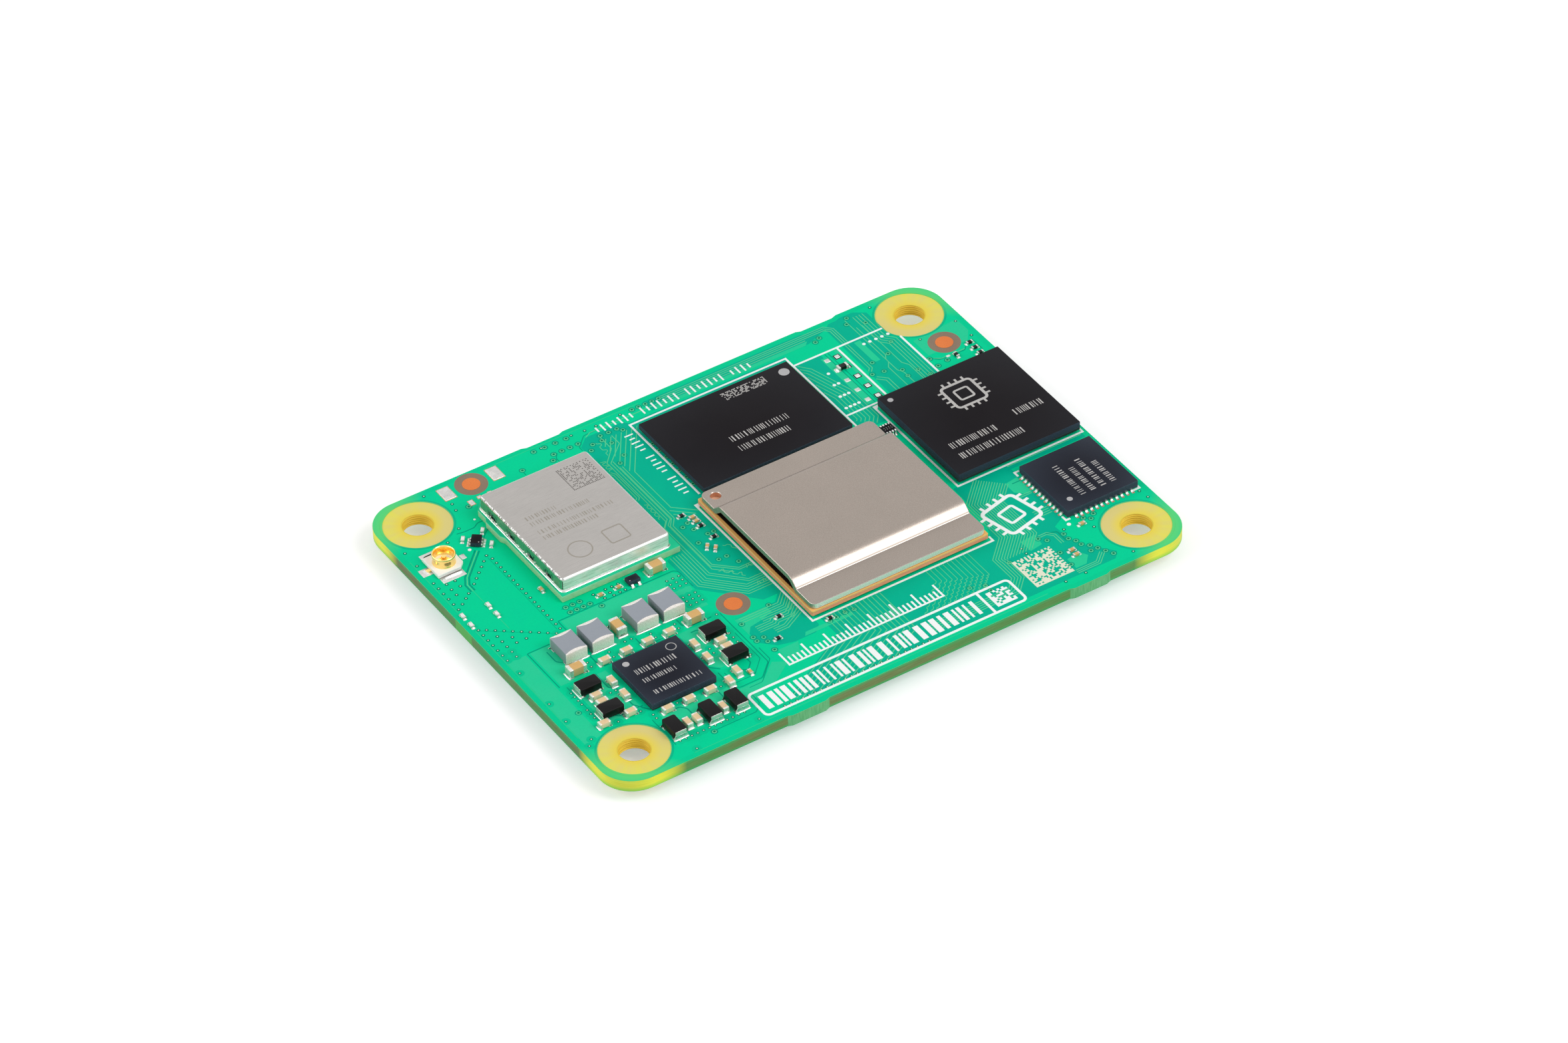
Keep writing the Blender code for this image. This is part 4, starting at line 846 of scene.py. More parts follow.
# Plated holes: rows run from a first to a last place, ringed ones have a dark gap round them
viaRows = [
    (-26.7, 9.5, -26.7, 5.6, 6), (-26.7, 2.55, -26.7, -1.9, 7), (-25.9, 8.8, -25.9, 7.25, 3),
    (-25.1, 8.8, -25.1, 8.0, 2), (-26.15, 2.2, -21.75, -1.3, 9), (-21.4, 10.05, -24.05, 7.6, 6),
    (-21.2, 9.45, -21.2, -0.95, 17), (-25.85, 0.3, -24.9, 0.3, 2), (-25.85, -0.45, -24.05, -0.45, 3),
    (-25.85, 1.05, -25.85, 1.05, 1), (-25.85, -1.2, -25.85, -1.9, 2), (-24.6, -8.1, -24.6, -9.7, 4),
    (-24.6, -10.5, -24.6, -11.6, 3), (-20.5, -17.7, -14.5, -17.7, 12), (-11.5, -18.9, 2.2, -18.9, 25),
    (-10.65, 19.1, -7.75, 19.1, 2), (-22.0, -9.8, -21.5, -9.8, 2), (-12.7, -9.8, -12.7, -10.4, 2),
    (-10.4, -7.2, -10.4, -12.2, 9),
]
viaRows += [
    (-11.1 + 0.57 * i, top, -11.1 + 0.57 * i, top - 1.1, 3) for i in range(3) for top in (-0.9, -3.35)
]
ringedRows = [
    (-11.4, 19.05, -8.3, 19.0, 4), (-10.2, 17.85, -7.85, 17.85, 4), (-19.5, 0.95, -18.2, 0.95, 3),
    (-19.5, 0.25, -17.65, 0.25, 4), (-6.2, -1.0, -5.45, -1.0, 2), (-9.1, -10.6, -9.1, -11.15, 2),
    (-8.4, -11.05, -8.4, -11.65, 2), (-1.85, 19.1, 0.75, 19.1, 5), (-5.8, 17.7, -4.2, 17.7, 3),
    (-2.8, 14.4, -2.8, 8.2, 7), (18.45, -14.15, 18.45, -14.85, 2), (19.4, -16.5, 20.4, -18.4, 4),
]
viaSingles = [
    (-26.7, 14.0), (-26.7, 12.1), (-25.0, 6.85), (-25.5, 6.45), (-26.1, 6.0), (-21.75, 19.3),
    (-20.35, 17.15), (-20.5, 16.3), (-21.5, 14.2), (-23.15, 13.2), (-19.9, -19.2), (-14.0, -19.05),
    (-26.7, -3.75), (-26.7, -8.2), (-26.7, -10.7), (-26.7, -14.2), (-26.15, -13.6), (-23.3, -13.05),
    (-21.2, -13.0), (-6.5, 19.0), (-5.4, 19.0), (-3.0, 19.1), (-16.85, 1.05), (-15.7, 1.05), (-15.1, 1.05),
    (-14.5, 1.05), (-15.6, 0.5), (-15.5, 0.05), (-14.9, 0.1), (-14.4, 0.1), (-16.3, 0.15), (-21.6, -5.7),
    (-21.6, -6.3), (-19.5, -5.6), (-19.5, -6.3), (-15.6, -5.6), (-15.5, -6.2), (-13.4, -5.7), (-13.4, -6.3),
    (-17.8, -5.25), (-17.2, -5.25), (-10.0, -6.6), (-20.6, -13.9), (-20.6, -14.4), (-18.3, -13.8),
    (-14.4, -14.1), (16.0, -8.0), (22.9, 13.25), (26.7, 13.6), (26.75, 11.3), (15.25, -19.1), (17.2, -19.1),
    (21.85, -19.1), (21.0, -14.8), (26.75, -14.2), (18.8, -13.7), (14.6, -13.75), (14.6, -14.45),
    (21.8, 19.2), (26.6, -13.2),
]
ringedSingles = [
    (-13.4, 17.55), (-10.65, 17.2), (-19.4, 16.1), (-25.35, -10.4), (-17.7, -18.3), (-17.0, -0.5),
    (-6.45, 4.0), (-5.85, 4.25), (-5.85, 3.3), (-6.45, 1.65), (-5.2, 2.2), (-4.65, 2.2), (-5.0, -2.1),
    (-5.95, -8.0), (-9.0, -8.75), (-8.5, -12.8), (20.75, 14.4), (17.9, 12.95), (19.65, 13.2),
    (17.05, 11.65), (18.1, 11.45), (19.45, 10.75), (20.55, 10.05), (19.4, 9.85), (21.1, 9.0), (22.1, 10.65),
    (22.2, 9.5), (23.25, 9.7), (15.5, 17.9), (16.05, 18.2), (18.95, 18.4), (19.4, 19.1), (20.4, 17.7),
    (16.4, -13.5), (16.9, -14.05), (18.8, -15.4), (18.9, -16.0), (19.1, -17.1), (16.8, -17.6),
    (8.45, -15.4), (9.65, -15.85), (-7.4, 16.5), (-6.9, 17.1), (-6.0, 17.1), (-5.5, 16.4), (-5.5, 14.5),
    (-6.3, 13.8), (-3.85, 17.3), (16.9, -15.9), (20.9, -13.4), (21.4, -13.8), (21.9, -13.4), (12.85, -14.6),
    (9.7, -16.6), (-3.0, -12.4), (-2.3, -12.3), (-1.4, -12.2), (-0.6, -12.3),
]


def rowPlaces(rows):
    places = []
    for x0, y0, x1, y1, count in rows:
        for t in [i / max(1, count - 1) for i in range(count)]:
            places.append((x0 + (x1 - x0) * t, y0 + (y1 - y0) * t))
    return places


def buildVias():
    bm = bmesh.new()
    base = topZ - 0.005
    # A plain hole is a bead of painted shadow topped with a painted highlight
    # A ringed one is a cup with painted shadow in its middle and a groove round it
    plainHole = {
        "outer": [(0.17, 0.0), (0.13, 0.016), (0.065, 0.02)], "outerIndex": 2,
        "inner": [(0.065, 0.02), (0.045, 0.032), (0.0, 0.036)], "innerIndex": 1,
    }
    ringedHole = {
        "outer": [(0.2, 0.0), (0.18, 0.022), (0.11, 0.026)], "outerIndex": 0,
        "inner": [(0.11, 0.026), (0.08, 0.016), (0.0, 0.012)], "innerIndex": 2,
    }
    for rows, singles, hole in ((viaRows, viaSingles, plainHole), (ringedRows, ringedSingles, ringedHole)):
        for x, y in rowPlaces(rows) + singles:
            for part, steps in (("outer", 16), ("inner", 12)):
                lathe(bm, [(r, base + z) for r, z in hole[part]], steps, hole[part + "Index"], (x, y, 0))
            if hole is ringedHole:
                ribbon(bm, ringPoints(x, y, 0.25, 24), 0.09, topZ - 0.01, topZ + 0.0095, 3, True, 0.01)
    boardPiece("plated_holes", bm, masks("trace", "paintedHighlight", "shadow", "groove"), 50)


# White print
printStyle = {
    "ink": surface((253, 255, 254), (246, 251, 248), 0.6, 20, 0.15, shade=0.04),
    "codeInk": surface((238, 238, 214), (226, 232, 206), 0.6, 20, 0.3),
    "height": 0.022,
}
inkMaterial = makeMaterial("white ink", printStyle["ink"])
codeInkMaterial = makeMaterial("cream ink", printStyle["codeInk"])


def dotCode(bm, x0, y0, x1, y1, columns, rows, low, high, index=0, solidEdges=True, size=1.0, share=0.5):
    # A field of squares set at random, which encodes nothing
    width, height = (x1 - x0) / columns, (y1 - y0) / rows
    for column in range(columns):
        for row in range(rows):
            edge = solidEdges and (column == 0 or row == 0)
            tick = solidEdges and (column == columns - 1 and row % 2 or row == rows - 1 and column % 2)
            inner = 0 < column < columns - 1 and 0 < row < rows - 1 or not solidEdges
            if edge or tick or inner and dice.random() < share:
                x, y = x0 + (column + 0.5) * width, y0 + (row + 0.5) * height
                roundBox(bm, (x, y, low), (width * size, height * size, high - low), index=index)


def buildPrint():
    bm = bmesh.new()
    low, high = topZ - 0.005, topZ + printStyle["height"]
    lines = [
        [(-3.05, 6.8), (-3.05, 17.5), (12.25, 17.5), (12.25, 6.8)],
        [(12.25, 16.3), (21.1, 16.3)],
        [(16.55, 16.3), (16.55, 8.85)],
        [(21.8, 14.6), (21.8, 8.85)],
        [(12.25, 8.35), (15.4, 8.35)],
        [(14.8, 8.1), (14.8, -4.35), (27.15, -4.35), (27.15, -3.6)],
        [(-4.1, 5.85), (-4.1, -11.6), (13.3, -11.6), (13.3, -11.0)],
        [(19.6, -12.3), (19.6, -12.85), (20.0, -12.85)],
        [(26.2, -12.85), (26.85, -12.85), (26.85, -12.3)],
        [(20.0, -5.55), (19.55, -5.55), (19.55, -6.1)],
        [(8.5, -16.2), (8.5, -19.1)],
    ]
    for points in lines:
        ribbon(bm, points, 0.25 if points is lines[-1] else 0.2, low, high, shoulder=0.015)
    ribbon(bm, rectPoints(-13.3, -19.1, 11.5, -16.2, 0.4), 0.25, low, high, closed=True, shoulder=0.015)
    fillLoops(bm, [[(14.7, 7.4), (15.3, 8.1), (14.7, 8.1)]], low, high)
    fillLoops(bm, [[(-4.2, 5.1), (-3.8, 5.6), (-3.8, 5.85), (-4.2, 5.85)]], low, high)
    for x, y, radius in ((19.5, -13.4, 0.18), (-22.15, 11.42, 0.15), (-19.85, 14.45, 0.1)):
        addDisc(bm, x, y, radius, low, high, steps=24)
    boardPiece("white_print", bm, [inkMaterial], 30)
    bm = bmesh.new()
    dotCode(bm, 12.95, -18.4, 16.6, -14.75, 22, 22, low, high)
    boardPiece("square_code", bm, [codeInkMaterial], 30)


# Metals, solder and passives
metalStyle = {
    "solder": surface((236, 237, 232), (186, 194, 188), 0.22, 8, 0.4, toneShare=0.8, metal=0.85,
                      patches=3.0, depth=0.02, shade=0.05),
    "tin plate": surface((220, 218, 214), (178, 178, 176), 0.34, 16, 0.3, patches=2.5, metal=0.9,
                         depth=0.02, wear=0.5, wearColor=(245, 240, 230)),
    "bare copper": surface((232, 126, 54), (222, 112, 46), 0.38, 12, 0.3, metal=0.35),
    "copper tips": surface((214, 150, 112), (196, 132, 96), 0.4, 12, 0.3, metal=0.5),
    # The gold's painted edge light is a deeper gold
    "gold plate": surface((255, 226, 150), (252, 216, 124), 0.16, 6, 0.05, metal=0.95, roughSpread=0.03,
                          shade=0.03, wear=0.5, wearColor=(255, 206, 96), wearRadius=0.02),
    "bare brown laminate": surface((138, 118, 98), (122, 102, 84), 0.6, 14, 0.5, speck=0.4,
            speckColor=(70, 60, 52)),
}
solderMaterial, tinMaterial, copperMaterial, tipMaterial, goldMaterial, brownMaterial = [
    makeMaterial(name, look) for name, look in metalStyle.items()
]
# Chip parts: cap is how far the plating reaches, mound and reach are the solder's height and length
# side is painted light and shade, the colour of the upright faces apart from the top's
passiveStyles = {
    "small_capacitor": {
        "count": 22,
        "body": surface((236, 206, 160), (224, 190, 142), 0.5, 9, 0.2, shade=0.04, wear=0.4,
                        wearColor=(250, 240, 222)),
        "cap": 0.16, "bow": 0.02, "round": 0.04, "proud": 0.014, "mound": 0.45, "reach": 0.12,
        "metal": (236, 234, 226),
        "side": (232, 222, 188),
    },
    "large_capacitor": {
        "count": 4,
        "body": surface((222, 178, 108), (206, 158, 88), 0.45, 8, 0.2, shade=0.04, wear=0.4,
                        wearColor=(246, 220, 176)),
        "cap": 0.3, "bow": 0.04, "round": 0.06, "proud": 0.02, "mound": 0.45, "reach": 0.16,
        "metal": (232, 230, 224),
        "side": (214, 182, 124),
    },
    "large_inductor": {
        "count": 4,
        "body": surface((148, 154, 163), (156, 162, 170), 0.5, 14, 0.15, shade=0.04, wear=0.3,
                        wearColor=(190, 194, 200)),
        "cap": 0.32, "bow": -0.24, "round": 0.07, "proud": 0.012, "mound": 0.16, "reach": 0.1,
        "metal": (248, 240, 232),
        "side": (140, 146, 152), "plate": 0.12,
    },
    "power_inductor": {
        "count": 7,
        "body": surface((16, 15, 16), (24, 22, 23), 0.34, 18, 0.25, wear=0.6, wearColor=(84, 78, 74),
                        specular=0.12),
        "cap": 0.02, "bow": 0.0, "round": 0.16, "proud": 0.0, "mound": 0.55, "reach": 0.12,
        "metal": (226, 224, 218),
        "side": (16, 15, 16),
    },
    "option_resistor": {
        "count": 1,
        "body": surface((22, 21, 22), (34, 32, 32), 0.35, 14, 0.2, specular=0.2),
        "cap": 0.2, "bow": 0.02, "round": 0.03, "proud": 0.015, "mound": 0.7, "reach": 0.2,
        "metal": (226, 224, 218),
        "side": (16, 15, 16),
    },
}


def paintEnds(length, width, style):
    # Plated ends with a grainy, slightly bowed inner boundary
    def paint(tree, sockets):
        parts = placeParts(tree)
        along = absolute(tree, parts["X"])
        across = times(tree, parts["Y"], 2 / width)
        bow = times(tree, times(tree, across, across), style["bow"])
        ragged = times(tree, mathNode(tree, "SUBTRACT", sockets["grain"], 0.5), 0.05)
        reach = mathNode(tree, "ADD", mathNode(tree, "ADD", along, bow), ragged)
        mask = spread(tree, reach, length / 2 - style["cap"] - 0.01, length / 2 - style["cap"] + 0.01)
        grain = spread(tree, sockets["grain"], 0.38, 0.6)
        shades = [tuple(min(255, c * share) for c in style["metal"]) for share in (0.93, 1.04)]
        plate = mixColor(tree, grain, *shades)
        # Painted light and shade: upright faces take the style's side colour instead of the top's
        upright = below(tree, absolute(tree, facingParts(tree)["Z"]), 0.4)
        body = mixColor(tree, upright, sockets["color"], style["side"])
        sockets["color"] = mixColor(tree, mask, body, plate)
        sockets["rough"] = spread(tree, mask, 0, 1, style["body"]["rough"], 0.36)
        sockets["metal"] = times(tree, mask, style.get("plate", 0.65))
    return paint


def passiveBody(bm, length, width, height, style, low):
    # Rounded sections along the part, a little thicker at the plated ends
    r, proud = style["round"], style["proud"]
    waist = length / 2 - style["cap"] - max(0, style["bow"]) * 0.5
    half = [(length / 2, r), (length / 2 - 0.3 * r, 0.3 * r), (length / 2 - r, 0.0)]
    half += [(waist, 0.0), (waist - 0.05, proud)] if proud else []
    stations = [(-x, inset) for x, inset in half] + [(x, inset) for x, inset in half[::-1]]
    loops = []
    for x, inset in stations:
        corner = max(r - inset, 0.01) + 0.01
        section = rectPoints(-width / 2 + inset, inset, width / 2 - inset, height - inset, corner, 3)
        loops.append([(x, y, low + z) for y, z in section])
    loft(bm, loops)


def pillBox(bm, length, width, low, high, corner, edge):
    # A moulded block with rounded corners in plan and a softer rim on top
    loops = []
    steps = [(0.03, low), (0.0, low + 0.04)]
    for a in [math.pi / 8 * i for i in range(5)]:
        steps.append((edge * (1 - math.cos(a)), high - edge + edge * math.sin(a)))
    for inset, z in steps:
        x, y = length / 2 - inset, width / 2 - inset
        loops.append(atHeight(rectPoints(-x, -y, x, y, corner - inset * 0.6, 4), z))
    loft(bm, loops)


def passivePiece(node, style, material):
    low, high, size, place = boxMm(node)
    length, width = max(size.x, size.y), min(size.x, size.y)
    isMoulded = style["cap"] < 0.1
    bm = bmesh.new()
    if isMoulded:
        pillBox(bm, length, width, seatGap + 0.1, size.z, style["round"], 0.06)
    else:
        passiveBody(bm, length - 0.01, width - 0.01, size.z - seatGap, style, seatGap)
    deck = -seatGap
    for end in (0, math.pi):
        sign = math.cos(end)
        pad = length / 2 * 0.45 + style["reach"]
        x = sign * (length / 2 + style["reach"] * 0.9 - pad / 2)
        roundBox(bm, (x, 0, deck), (pad, width + 0.03, 0.022), 0.008, 1, 2)
        mound = style["mound"] * size.z * (0.85 + 0.3 * dice.random())
        solderMound(bm, sign * (length / 2 - 0.02), 0, deck + 0.015, end, width, style["reach"], mound, 1)
    if isMoulded:
        # Low plated feet that show at the ends of a moulded coil
        for sign in (-1, 1):
            roundBox(bm, (sign * (length / 2 - 0.14), 0, 0), (0.3, width - 0.12, size.z * 0.52), 0.02, 1, 1)
    turn = math.pi / 2 if size.y > size.x or "large_inductor" in node else 0.0
    newPiece(node + "_look", bm, [material, solderMaterial, tinMaterial], [node], 40, place, turn)


def buildPassives():
    for kind, style in passiveStyles.items():
        count = style["count"]
        digits = len(str(count))
        nodes = [f"{kind}_{number:0{digits}d}" for number in range(1, count + 1)] if count > 1 else [kind]
        size = boxMm(nodes[0])[2]
        paint = paintEnds(max(size.x, size.y), min(size.x, size.y), style)
        material = makeMaterial(kind.replace("_", " "), style["body"], paint)
        for node in nodes:
            passivePiece(node, style, material)


# The smallest parts, on the board itself
tinyStyle = {
    "size": (0.6, 0.3, 0.24),
    "tan": surface((222, 178, 118), (206, 156, 96), 0.5, 14, 0.2),
    "black": surface((26, 25, 27), (38, 36, 38), 0.4, 14, 0.2, specular=0.15),
    "white": surface((248, 248, 244), (238, 238, 232), 0.45, 14, 0.1),
}
tinyPlaces = {
    "tan": [(-16.45, 0.6, 0), (-14.75, 0.6, 0), (-5.2, 4.55, 0), (-5.2, 3.98, 0), (20.35, -14.0, 0),
            (17.8, -16.25, 0), (17.8, -16.9, 0), (-20.0, 3.85, 90), (-11.6, -14.05, 90), (-6.15, 0.8, 52),
            (-5.7, 0.25, 52)],
    "black": [(-5.85, 5.2, 0), (-5.2, 3.3, 0), (-5.05, 1.53, 0), (-6.1, -9.7, 0), (-7.6, -11.9, 0),
              (-2.85, -12.2, 0), (26.0, 10.5, 0), (26.0, 9.7, 0), (26.0, 8.9, 0), (24.2, 9.75, 90)],
    "white": [(-26.9, 4.6, 90), (-26.9, 3.3, 90), (-24.5, 4.6, 90), (-24.5, 3.3, 90), (-22.0, 12.75, 52),
              (-20.1, 12.8, 52), (-20.35, 10.95, 52)],
}


def tinyChip(bm, x, y, z, turn, index, flip=1, size=None):
    # Body, two plated ends, two mounds and two pads, of materials index, 3, 4 and 4
    length, width, height = size or tinyStyle["size"]
    cap = length * 0.24
    part = bmesh.new()
    roundBox(part, (0, 0, 0.02), (length - cap, width - 0.02, height - 0.03), 0.015, 1, index)
    for sign in (-1, 1):
        roundBox(part, (sign * (length - cap) / 2, 0, 0.015), (cap, width, height - 0.015), 0.03, 2, 3)
        roundBox(part, (sign * (length / 2 + 0.01), 0, -0.01), (cap + 0.1, width + 0.02, 0.03), 0.01, 1, 4)
        end = 0 if sign > 0 else math.pi
        solderMound(part, sign * (length / 2 - 0.01), 0, 0.01, end, width * 0.86, 0.1, height * 0.6, 4)
    part.transform(Matrix.Scale(flip, 4, (0, 0, 1)))
    addPart(bm, part, 0, (x, y, z), math.radians(turn))


def buildTinyParts():
    bm = bmesh.new()
    kinds = ["tan", "black", "white"]
    looks = [makeMaterial("tiny " + kind, tinyStyle[kind]) for kind in kinds]
    for index, kind in enumerate(kinds):
        for x, y, turn in tinyPlaces[kind]:
            tinyChip(bm, x, y, topZ, turn, index)
    boardPiece("tiny_parts", bm, looks + [tinMaterial, solderMaterial], 40)
    bm = bmesh.new()
    size = boxMm("small_capacitor_01")[2]
    size = (max(size.x, size.y), min(size.x, size.y), 0.49)
    for column in range(5):
        for row in range(4):
            tinyChip(bm, 4.52 + (column - 2) * 2.4, -2.87 + (row - 1.5) * 2.8, bottomZ, 0, 0, -1, size)
    newPiece("underside_capacitors", bm, looks + [tinMaterial, solderMaterial], ["circuit_board"],
             smooth=40)


def buildPads():
    bm = bmesh.new()
    for x, y in ((-17.75, 18.45), (24.35, 11.8), (-8.2, -6.25)):
        addDisc(bm, x, y, 1.4, topZ - 0.01, topZ + 0.009, 2, 64)
        addDisc(bm, x, y, 0.78, topZ - 0.01, topZ + 0.03, 1, 48, 0.02)
    for x in (-20.05, -15.45):
        roundBox(bm, (x, 18.53, topZ - 0.01), (1.14, 1.68, 0.025), 0.01, 1, 4)
        roundBox(bm, (x, 18.53, topZ - 0.01), (1.06, 1.58, 0.06), 0.05, 3, 3, onlyTop=True)
    for x, y, wide, long in ((-18.95, 16.4, 0.5, 0.72), (-18.05, 16.65, 0.42, 0.4),
                             (-17.05, 16.65, 0.42, 0.4)):
        roundBox(bm, (x, y, topZ - 0.01), (wide, long, 0.022), 0.008, 1, 4)
        roundBox(bm, (x, y, topZ - 0.005), (wide - 0.1, long - 0.1, 0.045), 0.03, 3, 3, onlyTop=True)
    for row in range(5):
        y = 15.27 - 1.53 * row
        for x in (14.95, 15.95):
            sunk = x > 15.5
            wide = 0.6 if sunk else 0.46
            roundBox(bm, (x, y, topZ - 0.01), (wide, wide, 0.022), 0.008, 1, 5 if sunk else 3)
            if row != 1:
                roundBox(bm, (x, y, topZ - 0.005), (0.42, 0.42, 0.055), 0.04, 3, 0 if sunk else 3,
                         onlyTop=True)
    roundBox(bm, (23.6, 10.1, topZ - 0.01), (0.35, 0.25, 0.03), 0.01, 1, 0)
    looks = [solderMaterial, copperMaterial, brownMaterial, tinMaterial, tipMaterial, chipMaterials["base"]]
    boardPiece("bare_pads", bm, looks, 50)


# Moulded chips
chipStyle = {
    "black": surface((25, 22, 25), (30, 27, 30), 0.62, 22, 0.3, patches=0.3, wear=0.5,
                     wearColor=(84, 90, 98), wearRadius=0.03, specular=0.07, speck=0.3,
                     speckColor=(122, 118, 120)),
    "slate": surface((28, 29, 38), (32, 34, 44), 0.58, 22, 0.3, patches=0.3, wear=0.7,
                     wearColor=(112, 128, 148), wearRadius=0.035, specular=0.08, speck=0.26,
                     speckColor=(112, 118, 130)),
    "base": surface((30, 44, 44), (22, 34, 34), 0.5, 14, 0.4, specular=0.2, speck=0.7,
                    speckColor=(150, 120, 84)),
    "mark": surface((194, 191, 188), (176, 173, 170), 0.55, 24, 0.2, specular=0.2),
    "dot": surface((188, 187, 188), (168, 167, 168), 0.4, 18, 0.2, specular=0.3),
}
chipMaterials = {key: makeMaterial("chip " + key, look) for key, look in chipStyle.items()}


def paintPackage(tree, sockets):
    # The sawn sides are painted bluer and lighter than the top, a painted reflection
    upward = facingParts(tree)["Z"]
    side = below(tree, absolute(tree, upward), 0.5)
    streaks = spread(tree, sockets["grain"], 0.35, 0.65)
    sideReflection = mixColor(tree, streaks, (34, 44, 56), (62, 78, 94))
    cover(tree, sockets, side, sideReflection)


packageMaterials = {
    key: makeMaterial("package " + key, chipStyle[key], paintPackage) for key in ("black", "slate")
}


def ballRows(bm, low, high, top, index):
    # The two outer rows of a grid of solder balls
    pitch, radius, bottom = 0.8, 0.21, low.z - seatGap
    countX, countY = [int((side - 1.0) / pitch) + 1 for side in (high.x - low.x, high.y - low.y)]
    cx, cy, middle = (low.x + high.x) / 2, (low.y + high.y) / 2, (bottom + top) / 2
    tall = (top - bottom) / 2 + 0.01
    angles = [math.pi * (i / 6 - 0.5) for i in range(7)]
    profile = [(radius * math.cos(a) * 0.999, middle + tall * math.sin(a)) for a in angles]
    for i in range(countX):
        for j in range(countY):
            if not (1 < i < countX - 2 and 1 < j < countY - 2):
                x, y = cx + (i - (countX - 1) / 2) * pitch, cy + (j - (countY - 1) / 2) * pitch
                lathe(bm, profile, 10, index, (x, y, 0))


def tickRow(bm, x0, y0, x1, y1, tall, height, index, low):
    # A strip of bars of uneven width, which reads as nothing
    a, b = Vector((x0, y0)), Vector((x1, y1))
    along = (b - a).normalized()
    turn = math.atan2(along.y, along.x)
    place, length = 0.0, (b - a).length
    while place < length:
        wide = dice.choice((0.06, 0.08, 0.12))
        centre = a + along * (place + wide / 2)
        roundBox(bm, (centre.x, centre.y, low), (wide, tall, height), index=index, turn=turn)
        place += wide + dice.choice((0.1, 0.16, 0.24))


def buildPackage(node, style, standoff, base, marks):
    low, high, size, (cx, cy, z) = boxMm(node)
    bm = bmesh.new()
    bottom, top = low.z + standoff, high.z - 0.006
    roundBox(bm, (cx, cy, bottom), (size.x - 0.02, size.y - 0.02, base), 0.02, 1, 1)
    roundBox(bm, (cx, cy, bottom + base), (size.x, size.y, top - bottom - base), 0.035)
    if standoff > 0.1:
        ballRows(bm, low, high, bottom, 2)
    markLow, markHigh = top - 0.01, top + 0.003
    for kind, *values in marks:
        if kind == "dot":
            addDisc(bm, *values, markLow, top + 0.004, 3, 40)
        elif kind == "code":
            dotCode(bm, *values, markLow, markHigh, 4, solidEdges=False, size=0.8)
        elif kind == "ticks":
            tickRow(bm, *values, 0.013, 4, markLow)
        elif kind == "line":
            ribbon(bm, *values, markLow, markHigh, 4, shoulder=0.005)
        elif kind == "ring":
            *place, width = values
            ribbon(bm, ringPoints(*place, 36), width, markLow, markHigh, 4, closed=True, shoulder=0.005)
    looks = [packageMaterials[style], chipMaterials["base"], solderMaterial, chipMaterials["dot"],
             chipMaterials["mark"]]
    newPiece(node + "_look", bm, looks, [node], 30)


def chipIcon(x, y, size, width):
    # A plain picture of a chip: a rounded square, a smaller one inside it, and legs
    half = size / 2
    shapes = []
    for reach, corner, share in ((half, 0.12, 1), (half * 0.45, 0.06, 0.8)):
        shapes.append(("loop", rectPoints(x - reach, y - reach, x + reach, y + reach, size * corner),
                       width * share))
    for i in range(4):
        place = (i - 1.5) * size * 0.22
        for side in (-1, 1):
            near, far = side * (half + width * 0.45), side * (half + size * 0.17)
            shapes.append(("line", [(x + place, y + near), (x + place, y + far)], width * 0.8))
            shapes.append(("line", [(x + near, y + place), (x + far, y + place)], width * 0.8))
    return shapes


def buildChips():
    memoryMarks = [("dot", 10.7, 15.3, 0.47), ("code", 4.7, 14.85, 8.9, 15.85, 34, 8)]
    memoryMarks += [("ticks", 2.3, 9.0, 7.1, 9.0, 0.7), ("ticks", 2.3, 10.4, 7.9, 10.4, 0.7)]
    buildPackage("memory_chip", "black", 0.26, 0.14, memoryMarks)
    ioMarks = [("dot", 15.7, 6.9, 0.25), ("ticks", 16.4, -2.4, 22.6, -2.4, 0.75)]
    ioMarks += [("ticks", 16.4, -0.9, 20.8, -0.9, 0.75), ("ticks", 23.2, -0.2, 26.0, -0.2, 0.75)]
    for kind, points, width in chipIcon(21.2, 4.2, 2.9, 0.26):
        ioMarks.append(("line", points + points[:1] if kind == "loop" else points, width))
    buildPackage("io_chip", "black", 0.25, 0.2, ioMarks)
    powerMarks = [("dot", -19.6, -8.3, 0.29), ("ticks", -19.5, -9.6, -15.6, -9.6, 0.62)]
    powerMarks += [("ticks", -19.5, -10.8, -16.4, -10.8, 0.5), ("ticks", -19.5, -12.4, -15.2, -12.4, 0.5)]
    powerMarks += [("ring", -15.5, -8.5, 0.42, 0.07)]
    buildPackage("power_chip", "slate", 0.03, 0.12, powerMarks)


# Ethernet chip with its row of leads on each side
ethernetStyle = {"pitch": 0.5, "count": 12, "lead": 0.26, "body": 6.95}


